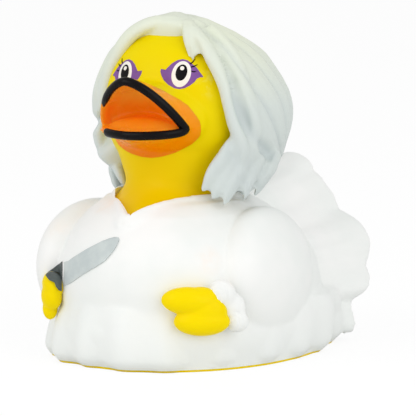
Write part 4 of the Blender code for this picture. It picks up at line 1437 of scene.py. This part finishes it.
class Nodes:
    """A material's node tree with short calls for what the finishes need."""

    def __init__(self, name: str) -> None:
        """Starts a material that holds a Principled shader and its output alone."""
        self.material = bpy.data.materials.new(name)
        self.material.use_nodes = True
        self.tree = self.material.node_tree
        self.shader = self.tree.nodes["Principled BSDF"]
        self.place = self.add("ShaderNodeTexCoord").outputs["Object"]

    def add(self, kind: str, **settings: object) -> bpy.types.Node:
        """Adds a node and sets its properties."""
        node = self.tree.nodes.new(kind)
        for name, value in settings.items():
            setattr(node, name, value)
        return node

    def link(self, start: Socket, end: Socket) -> None:
        """Connects two sockets."""
        self.tree.links.new(start, end)

    def set(self, **values: object) -> None:
        """Sets sockets of the shader that are the same all over, by name with _ for a space."""
        for name, value in values.items():
            self.shader.inputs[name.replace("_", " ")].default_value = value

    def group(self, tree: bpy.types.NodeTree, **values: float) -> bpy.types.Node:
        """Places an effect group at the object's coordinates with its own values."""
        node = self.add("ShaderNodeGroup", node_tree=tree)
        self.link(self.place, node.inputs["Vector"])
        for name, value in values.items():
            node.inputs[name.replace("_", " ")].default_value = value
        return node

    def ramp(self, value: Socket, stops: Sequence[tuple[float, Colour]]) -> Socket:
        """Colours a value by stops from 0 to 1."""
        node = self.add("ShaderNodeValToRGB")
        band = node.color_ramp
        while len(band.elements) < len(stops):
            band.elements.new(0.5)
        for element, (position, colour) in zip(band.elements, stops):
            element.position = position
            element.color = colour
        self.link(value, node.inputs["Fac"])
        return node.outputs["Color"]

    def blend(self, mask: Socket, low: Socket | Colour, high: Socket | Colour) -> Socket:
        """Mixes two colours by a mask."""
        node = self.add("ShaderNodeMix", data_type="RGBA")
        self.link(mask, node.inputs["Factor"])
        for name, value in (("A", low), ("B", high)):
            socket = next(s for s in node.inputs if s.name == name and s.type == "RGBA")
            if isinstance(value, tuple):
                socket.default_value = value
            else:
                self.link(value, socket)
        return next(s for s in node.outputs if s.type == "RGBA")

    def math(
        self, operation: str, first: Socket | float, second: Socket | float, clamp: bool = False
    ) -> Socket:
        """One step of arithmetic on values that change over the surface."""
        node = self.add("ShaderNodeMath", operation=operation, use_clamp=clamp)
        for socket, value in zip(node.inputs, (first, second)):
            if isinstance(value, (int, float)):
                socket.default_value = value
            else:
                self.link(value, socket)
        return node.outputs["Value"]

    def height(self) -> Socket:
        """The height above the floor in metres."""
        node = self.add("ShaderNodeSeparateXYZ")
        self.link(self.place, node.inputs["Vector"])
        return node.outputs["Z"]

    def span(self, value: Socket, low: float, high: float, bottom: float = 0.0, top: float = 1.0) -> Socket:
        """Maps a value smoothly from a range in metres to bottom and top."""
        node = self.add("ShaderNodeMapRange", interpolation_type="SMOOTHSTEP")
        self.link(value, node.inputs["Value"])
        for name, number in (("From Min", low), ("From Max", high), ("To Min", bottom), ("To Max", top)):
            node.inputs[name].default_value = number
        return node.outputs["Result"]

    def near(self, centre: Vector, reach: float) -> Socket:
        """A soft mask round a place: 1 at its middle and 0 at reach, in metres."""
        node = self.add("ShaderNodeVectorMath", operation="DISTANCE")
        self.link(self.place, node.inputs[0])
        node.inputs[1].default_value = centre
        return self.span(node.outputs["Value"], 0.0, reach, 1.0, 0.0)

    def relief(self, height: Socket, strength: float, distance: float) -> None:
        """Raises the surface by a height that changes over it."""
        bump = self.add("ShaderNodeBump")
        bump.inputs["Strength"].default_value = strength
        bump.inputs["Distance"].default_value = distance
        self.link(height, bump.inputs["Height"])
        self.link(bump.outputs["Normal"], self.shader.inputs["Normal"])

    def colour(self, socket: Socket) -> None:
        """Gives the shader its colour."""
        self.link(socket, self.shader.inputs["Base Color"])

    def gloss(self, grain: bpy.types.Node, roughness: tuple[float, float]) -> None:
        """Lets the roughness wander between two values with the grain's own gloss."""
        self.link(self.span(grain.outputs["Gloss"], 0.0, 1.0, *roughness), self.shader.inputs["Roughness"])


@dataclass(frozen=True)
class Effects:
    """Node groups that several finishes share."""

    grain: bpy.types.NodeTree
    mottle: bpy.types.NodeTree
    wear: bpy.types.NodeTree

    @staticmethod
    def tree(name: str, inputs: dict[str, float], outputs: Sequence[str]) -> bpy.types.NodeTree:
        """Starts a group with a Vector input, value inputs and value outputs."""
        tree = bpy.data.node_groups.new(name, "ShaderNodeTree")
        tree.interface.new_socket("Vector", in_out="INPUT", socket_type="NodeSocketVector")
        for label, value in inputs.items():
            socket = tree.interface.new_socket(label, in_out="INPUT", socket_type="NodeSocketFloat")
            socket.default_value = value
        for label in outputs:
            tree.interface.new_socket(label, in_out="OUTPUT", socket_type="NodeSocketFloat")
        tree.nodes.new("NodeGroupInput").name = "in"
        tree.nodes.new("NodeGroupOutput").name = "out"
        return tree

    @classmethod
    def noise(cls, tree: bpy.types.NodeTree, scale: Socket, detail: float, rough: float) -> Socket:
        """Adds noise at the group's vector and gives its value."""
        node = tree.nodes.new("ShaderNodeTexNoise")
        node.inputs["Detail"].default_value = detail
        node.inputs["Roughness"].default_value = rough
        tree.links.new(tree.nodes["in"].outputs["Vector"], node.inputs["Vector"])
        tree.links.new(scale, node.inputs["Scale"])
        return node.outputs["Fac"]

    @classmethod
    def spread(
        cls, tree: bpy.types.NodeTree, value: Socket, low: float, high: float, output: str
    ) -> bpy.types.Node:
        """Stretches a noise value to 0 to 1 and gives it out."""
        node = tree.nodes.new("ShaderNodeMapRange")
        node.interpolation_type = "SMOOTHSTEP"
        node.inputs["From Min"].default_value = low
        node.inputs["From Max"].default_value = high
        tree.links.new(value, node.inputs["Value"])
        tree.links.new(node.outputs["Result"], tree.nodes["out"].inputs[output])
        return node

    @classmethod
    def build(cls) -> Effects:
        """Makes the shared groups."""
        grain = cls.tree("moulded_grain", {"Scale": 900.0, "Swell": 120.0}, ("Height", "Gloss"))
        fine = cls.noise(grain, grain.nodes["in"].outputs["Scale"], 3.0, 0.55)
        slow = cls.noise(grain, grain.nodes["in"].outputs["Swell"], 2.0, 0.5)
        both = grain.nodes.new("ShaderNodeMath")
        both.operation = "MULTIPLY_ADD"
        both.inputs[1].default_value = 0.35
        grain.links.new(fine, both.inputs[0])
        grain.links.new(slow, both.inputs[2])
        grain.links.new(both.outputs["Value"], grain.nodes["out"].inputs["Height"])
        cls.spread(grain, slow, 0.35, 0.65, "Gloss")

        mottle = cls.tree("paint_mottle", {"Scale": 60.0}, ("Tone",))
        cls.spread(mottle, cls.noise(mottle, mottle.nodes["in"].outputs["Scale"], 3.0, 0.6), 0.3, 0.7, "Tone")

        wear = cls.tree("rubbed_patches", {"Scale": 240.0, "Start": 0.6, "End": 0.72}, ("Mask",))
        patch = cls.noise(wear, wear.nodes["in"].outputs["Scale"], 5.0, 0.65)
        edge = cls.spread(wear, patch, 0.6, 0.72, "Mask")
        wear.links.new(wear.nodes["in"].outputs["Start"], edge.inputs["From Min"])
        wear.links.new(wear.nodes["in"].outputs["End"], edge.inputs["From Max"])
        return cls(grain, mottle, wear)


@dataclass(frozen=True)
class VinylFinish:
    """Soft yellow vinyl, darker towards the neck as painted shade under the head, with pale rubs on the cheeks."""

    face: Colour = paint_colour(241, 218, 0)
    # neck: the face's yellow darkened by painted shade, used on the neck under the head
    neck: Colour = paint_colour(237, 203, 0)
    hand: Colour = paint_colour(250, 222, 0)
    rub: Colour = paint_colour(238, 224, 92)
    roughness: tuple[float, float] = (0.29, 0.43)

    def build(self, effects: Effects) -> bpy.types.Material:
        """Makes the material."""
        nodes = Nodes("yellow_vinyl")
        # Painted shade: the yellow darkens from the face down to the neck, under the head.
        rise = nodes.span(nodes.height(), 40.0 * MM, 62.0 * MM)
        upper = nodes.blend(rise, self.neck, self.face)
        base = nodes.blend(nodes.span(nodes.height(), 24.0 * MM, 30.0 * MM), self.hand, upper)
        tone = nodes.group(effects.mottle, Scale=70.0).outputs["Tone"]
        shade = nodes.blend(nodes.math("MULTIPLY", tone, 0.25), base, paint_colour(240, 208, 0))
        patches = nodes.group(effects.wear, Scale=420.0, Start=0.5, End=0.66).outputs["Mask"]
        cheek = nodes.math("MULTIPLY", patches, nodes.near(mm(13.0, -19.0, 69.0), 6.0 * MM))
        brow = nodes.math("MULTIPLY", patches, nodes.near(mm(14.0, -18.0, 78.0), 7.0 * MM))
        rubs = nodes.math("MULTIPLY", nodes.math("ADD", cheek, brow, clamp=True), 0.7)
        nodes.colour(nodes.blend(rubs, shade, self.rub))
        grain = nodes.group(effects.grain, Scale=1400.0, Swell=260.0)
        nodes.relief(grain.outputs["Height"], 0.18, 0.12 * MM)
        nodes.gloss(grain, self.roughness)
        nodes.set(Specular_IOR_Level=0.06, Subsurface_Weight=0.12, Subsurface_Scale=0.0015)
        nodes.shader.inputs["Subsurface Radius"].default_value = (1.0, 0.7, 0.1)
        return nodes.material


@dataclass(frozen=True)
class GownFinish:
    """Satin white paint with a faint warm overspray at collar and cuffs."""

    white: Colour = paint_colour(248, 248, 246)
    cool: Colour = paint_colour(240, 243, 240)
    tint: Colour = paint_colour(252, 226, 200)
    roughness: tuple[float, float] = (0.44, 0.58)
    spots: tuple[tuple[Point, float, float], ...] = (
        ((-9.0, -29.0, 38.0), 5.0, 0.55), ((20.0, -31.0, 27.0), 5.0, 0.35), ((25.5, -31.5, 22.0), 3.5, 0.35),
        ((-24.0, -27.0, 31.0), 6.0, 0.25), ((26.0, -31.0, 8.0), 3.0, 0.4),
    )

    def build(self, effects: Effects) -> bpy.types.Material:
        """Makes the material."""
        nodes = Nodes("gown_white")
        rise = nodes.span(nodes.height(), 0.0, 30.0 * MM)
        tone = nodes.group(effects.mottle, Scale=45.0).outputs["Tone"]
        base = nodes.blend(nodes.math("MULTIPLY", rise, tone), self.cool, self.white)
        mist = nodes.group(effects.wear, Scale=160.0, Start=0.3, End=0.7).outputs["Mask"]
        colour = base
        for centre, reach, amount in self.spots:
            spot = nodes.math("MULTIPLY", nodes.near(mm(*centre), reach * MM), mist)
            colour = nodes.blend(nodes.math("MULTIPLY", spot, amount), colour, self.tint)
        nodes.colour(colour)
        grain = nodes.group(effects.grain, Scale=700.0, Swell=150.0)
        nodes.relief(grain.outputs["Height"], 0.3, 0.15 * MM)
        nodes.gloss(grain, self.roughness)
        nodes.set(Specular_IOR_Level=0.35)
        return nodes.material


@dataclass(frozen=True)
class HairFinish:
    """Pale grey paint, warmer on the crown, with painted light that makes the crown lighter and painted shade that
    makes the ends and the combed grooves darker and bluish.
    """

    # The grey is lighter on the crown and darker at the ends as painted light and shade; the crown also carries a
    # warm tint.
    crown: Colour = paint_colour(230, 235, 214)
    middle: Colour = paint_colour(214, 222, 217)
    ends: Colour = paint_colour(205, 213, 211)
    # The colour of the painted shade in the combed grooves.
    groove: Colour = paint_colour(190, 200, 203)
    roughness: tuple[float, float] = (0.35, 0.52)

    def build(self, effects: Effects) -> bpy.types.Material:
        """Makes the material."""
        nodes = Nodes("hair_grey")
        # Painted light and shade: the grey lightens from the ends up to the crown.
        rise = nodes.span(nodes.height(), 38.0 * MM, 84.0 * MM)
        base = nodes.ramp(rise, ((0.0, self.ends), (0.55, self.middle), (1.0, self.crown)))
        # Painted shade: the combed grooves darken with their carved depth.
        carved = nodes.add("ShaderNodeAttribute", attribute_name="groove")
        depth = nodes.math("MULTIPLY", nodes.span(carved.outputs["Fac"], 0.1, 0.9), 0.4)
        tone = nodes.group(effects.mottle, Scale=55.0).outputs["Tone"]
        shade = nodes.blend(nodes.math("MULTIPLY", tone, 0.35), base, self.middle)
        nodes.colour(nodes.blend(depth, shade, self.groove))
        strokes = nodes.add("ShaderNodeMapping")
        strokes.inputs["Scale"].default_value = (1.0, 1.0, 0.12)
        nodes.link(nodes.place, strokes.inputs["Vector"])
        combed = nodes.group(effects.grain, Scale=900.0, Swell=420.0)
        nodes.link(strokes.outputs["Vector"], combed.inputs["Vector"])
        nodes.relief(combed.outputs["Height"], 0.3, 0.18 * MM)
        nodes.gloss(combed, self.roughness)
        nodes.set(Specular_IOR_Level=0.4)
        return nodes.material


@dataclass(frozen=True)
class BillFinish:
    """Gloss orange paint; inside the mouth a lighter orange as painted light, turning redder and darker towards the
    crease as painted shade.
    """

    outside: Colour = paint_colour(255, 152, 0)
    lower: Colour = paint_colour(254, 134, 0)
    # inside: lighter than the outside paint, as painted light in the shaded mouth; crease: painted shade deep in the
    # mouth
    inside: Colour = paint_colour(255, 166, 48)
    crease: Colour = paint_colour(255, 132, 8)
    crease_height: float = 61.4
    crease_flatness: float = 1.9
    mouth_height: float = 62.5
    roughness: tuple[float, float] = (0.18, 0.28)

    def build(self, effects: Effects) -> bpy.types.Material:
        """Makes the material."""
        nodes = Nodes("bill_orange")
        split = nodes.add("ShaderNodeSeparateXYZ")
        nodes.link(nodes.place, split.inputs["Vector"])
        under = nodes.span(split.outputs["Z"], 50.0 * MM, 58.0 * MM)
        coat = nodes.blend(under, self.lower, self.outside)
        # Painted shade: darker and redder towards the crease deep in the mouth.
        squeeze = nodes.add("ShaderNodeMapping")
        squeeze.inputs["Location"].default_value = (0.0, 0.0, -self.crease_height * MM * self.crease_flatness)
        squeeze.inputs["Scale"].default_value = (0.55, 0.0, self.crease_flatness)
        nodes.link(nodes.place, squeeze.inputs["Vector"])
        distance = nodes.add("ShaderNodeVectorMath", operation="LENGTH")
        nodes.link(squeeze.outputs["Vector"], distance.inputs[0])
        deep = nodes.span(distance.outputs["Value"], 1.0 * MM, 10.0 * MM, 1.0, 0.0)
        mouth = nodes.blend(deep, self.inside, self.crease)
        # Painted light: the mouth's inside is lighter than the outside paint.
        reach = nodes.add("ShaderNodeMapping")
        reach.inputs["Location"].default_value = (0.0, 0.0, -self.mouth_height * MM)
        reach.inputs["Scale"].default_value = (0.6, 0.0, 1.0)
        nodes.link(nodes.place, reach.inputs["Vector"])
        area = nodes.add("ShaderNodeVectorMath", operation="LENGTH")
        nodes.link(reach.outputs["Vector"], area.inputs[0])
        within = nodes.span(area.outputs["Value"], 6.0 * MM, 9.0 * MM, 1.0, 0.0)
        tone = nodes.group(effects.mottle, Scale=110.0).outputs["Tone"]
        colour = nodes.blend(within, coat, mouth)
        nodes.colour(nodes.blend(nodes.math("MULTIPLY", tone, 0.1), colour, self.lower))
        grain = nodes.group(effects.grain, Scale=1100.0, Swell=300.0)
        nodes.relief(grain.outputs["Height"], 0.12, 0.1 * MM)
        nodes.gloss(grain, self.roughness)
        nodes.set(Coat_Weight=0.05, Coat_Roughness=0.12, Specular_IOR_Level=0.12)
        nodes.set(Subsurface_Weight=0.4, Subsurface_Scale=0.003)
        nodes.shader.inputs["Subsurface Radius"].default_value = (1.0, 0.45, 0.1)
        return nodes.material


@dataclass(frozen=True)
class InkFinish:
    """A printed or brushed paint with a slight tone and grain of its own."""

    name: str
    colour: Colour
    second: Colour
    roughness: tuple[float, float]
    relief: float = 0.12
    scale: float = 1200.0
    gloss_coat: float = 0.0
    specular: float = 0.2

    def build(self, effects: Effects) -> bpy.types.Material:
        """Makes the material."""
        nodes = Nodes(self.name)
        tone = nodes.group(effects.mottle, Scale=260.0).outputs["Tone"]
        nodes.colour(nodes.blend(tone, self.colour, self.second))
        grain = nodes.group(effects.grain, Scale=self.scale, Swell=self.scale * 0.3)
        nodes.relief(grain.outputs["Height"], self.relief, 0.1 * MM)
        nodes.gloss(grain, self.roughness)
        nodes.set(Specular_IOR_Level=self.specular, Coat_Weight=self.gloss_coat, Coat_Roughness=0.1)
        return nodes.material


def make_finishes(effects: Effects) -> dict[Coat, bpy.types.Material]:
    """Makes every finish, by the slot that it stands for."""
    colour = paint_colour
    inks = {
        Coat.LINE: InkFinish(
            "line_black", colour(10, 7, 9), colour(15, 11, 13), (0.2, 0.32), relief=0.15, scale=900.0,
            gloss_coat=0.04, specular=0.1,
        ),
        Coat.SHADOW: InkFinish("eye_purple", colour(132, 88, 160), colour(124, 80, 152), (0.42, 0.55)),
        Coat.EYE: InkFinish("eye_white", colour(250, 246, 238), colour(244, 240, 232), (0.3, 0.42)),
        Coat.BLADE: InkFinish(
            "blade_grey", colour(206, 214, 212), colour(194, 203, 203), (0.3, 0.45), relief=0.2, scale=700.0
        ),
        Coat.HANDLE: InkFinish(
            "handle_grey", colour(94, 102, 100), colour(74, 82, 82), (0.35, 0.5), relief=0.25, scale=800.0
        ),
    }
    finishes = {coat: ink.build(effects) for coat, ink in inks.items()}
    finishes[Coat.SKIN] = VinylFinish().build(effects)
    finishes[Coat.GOWN] = GownFinish().build(effects)
    finishes[Coat.HAIR] = HairFinish().build(effects)
    finishes[Coat.BILL] = BillFinish().build(effects)
    return finishes


# ---------------------------------------------------------------- studio


@dataclass(frozen=True)
class Studio:
    """Camera, lamps, floor and backdrop."""

    azimuth: float = 30.0
    elevation: float = 6.5
    distance: float = 1.0
    field: float = 0.104
    aim: Point = (0.0, 1.2, 35.5)
    aim_right: float = 1.25
    world_strength: float = 0.72
    key_place: Point = (-0.45, -0.98, 0.55)
    key_power: float = 3.5
    fill_place: Point = (0.95, -0.35, 0.45)
    fill_power: float = 3.3
    lamp_size: float = 0.9
    lamp_aim: Point = (0.0, 0.0, 40.0)
    floor_size: float = 3.0
    floor_white: float = 0.86
    floor_glow: float = 1.06
    glow_share: float = 0.8

    def camera(self) -> None:
        """Sets the camera at the photograph's angle."""
        turn, rise = math.radians(self.azimuth), math.radians(self.elevation)
        right = Vector((math.cos(turn), math.sin(turn), 0.0))
        back = Vector((math.sin(turn) * math.cos(rise), -math.cos(turn) * math.cos(rise), math.sin(rise)))
        target = mm(*self.aim) + right * (self.aim_right * MM)
        Bench.clear()
        bpy.ops.object.camera_add(location=target + back * self.distance)
        camera = bpy.context.object
        camera.name = "photo_camera"
        camera.rotation_mode = "QUATERNION"
        camera.rotation_quaternion = (-back).to_track_quat("-Z", "Y")
        camera.data.sensor_width = 36.0
        camera.data.lens = 36.0 * self.distance / self.field
        camera.data.clip_start = 0.05
        bpy.context.scene.camera = camera

    def lamp(self, name: str, place: Point, power: float) -> None:
        """Adds one soft lamp.

        Args:
            name: Its name.
            place: Where it stands, in metres from the duck.
            power: Its power in watts.
        """
        Bench.clear()
        bpy.ops.object.light_add(type="AREA", location=place)
        lamp = bpy.context.object
        lamp.name = name
        lamp.data.shape = "SQUARE"
        lamp.data.size = self.lamp_size
        lamp.data.energy = power
        lamp.rotation_mode = "QUATERNION"
        lamp.rotation_quaternion = (mm(*self.lamp_aim) - Vector(place)).to_track_quat("-Z", "Y")

    def world(self) -> None:
        """Lights the duck evenly and shows white behind it."""
        world = bpy.data.worlds.new("studio")
        bpy.context.scene.world = world
        world.use_nodes = True
        tree = world.node_tree
        paths = tree.nodes.new("ShaderNodeLightPath")
        seen = tree.nodes.new("ShaderNodeMath")
        seen.operation = "MAXIMUM"
        tree.links.new(paths.outputs["Is Camera Ray"], seen.inputs[0])
        tree.links.new(paths.outputs["Is Transmission Ray"], seen.inputs[1])
        strength = tree.nodes.new("ShaderNodeMapRange")
        strength.inputs["To Min"].default_value = self.world_strength
        strength.inputs["To Max"].default_value = 1.0
        tree.links.new(seen.outputs["Value"], strength.inputs["Value"])
        background = tree.nodes["Background"]
        background.inputs["Color"].default_value = (1.0, 1.0, 1.0, 1.0)
        tree.links.new(strength.outputs["Result"], background.inputs["Strength"])

    def floor(self) -> None:
        """Adds a white floor that keeps a soft shadow."""
        Bench.clear()
        bpy.ops.mesh.primitive_plane_add(size=self.floor_size)
        floor = bpy.context.object
        floor.name = "floor"
        nodes = Nodes("floor_white")
        nodes.set(Roughness=0.9, Specular_IOR_Level=0.1)
        nodes.shader.inputs["Base Color"].default_value = (*[self.floor_white] * 3, 1.0)
        tone = nodes.add("ShaderNodeEmission")
        tone.inputs["Color"].default_value = (1.0, 1.0, 1.0, 1.0)
        tone.inputs["Strength"].default_value = self.floor_glow
        paths = nodes.add("ShaderNodeLightPath")
        share = nodes.math("MULTIPLY", paths.outputs["Is Camera Ray"], self.glow_share)
        mix = nodes.add("ShaderNodeMixShader")
        nodes.link(share, mix.inputs["Fac"])
        nodes.link(nodes.shader.outputs["BSDF"], mix.inputs[1])
        nodes.link(tone.outputs["Emission"], mix.inputs[2])
        nodes.link(mix.outputs["Shader"], nodes.tree.nodes["Material Output"].inputs["Surface"])
        floor.data.materials.append(nodes.material)

    def build(self) -> None:
        """Sets up the whole studio."""
        self.camera()
        self.lamp("key", self.key_place, self.key_power)
        self.lamp("fill", self.fill_place, self.fill_power)
        self.world()
        self.floor()
        bpy.context.scene.view_settings.view_transform = "Standard"


def main() -> None:
    """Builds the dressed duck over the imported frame."""
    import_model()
    finishes = make_finishes(Effects.build())
    skin = Skin()
    bare_skin = skin.build(finishes[Coat.SKIN])
    Eyes().build(Bench.ground_of(bare_skin), finishes)
    skin.bill.paint(bare_skin, finishes[Coat.BILL])
    bpy.data.objects.remove(bare_skin)
    skin.bill.line(finishes[Coat.LINE])
    Hair().build(finishes[Coat.HAIR])
    bare_gown = Gown().build(finishes[Coat.GOWN])
    bare_hand = Hands().build(finishes[Coat.SKIN])
    Knife().build(Bench.ground_of(bare_gown, bare_hand), finishes)
    bpy.data.objects.remove(bare_hand)
    Foot().build(bare_gown, finishes[Coat.SKIN])
    Studio().build()


if __name__ == "__main__":
    logging.basicConfig(level=logging.INFO)
    main()
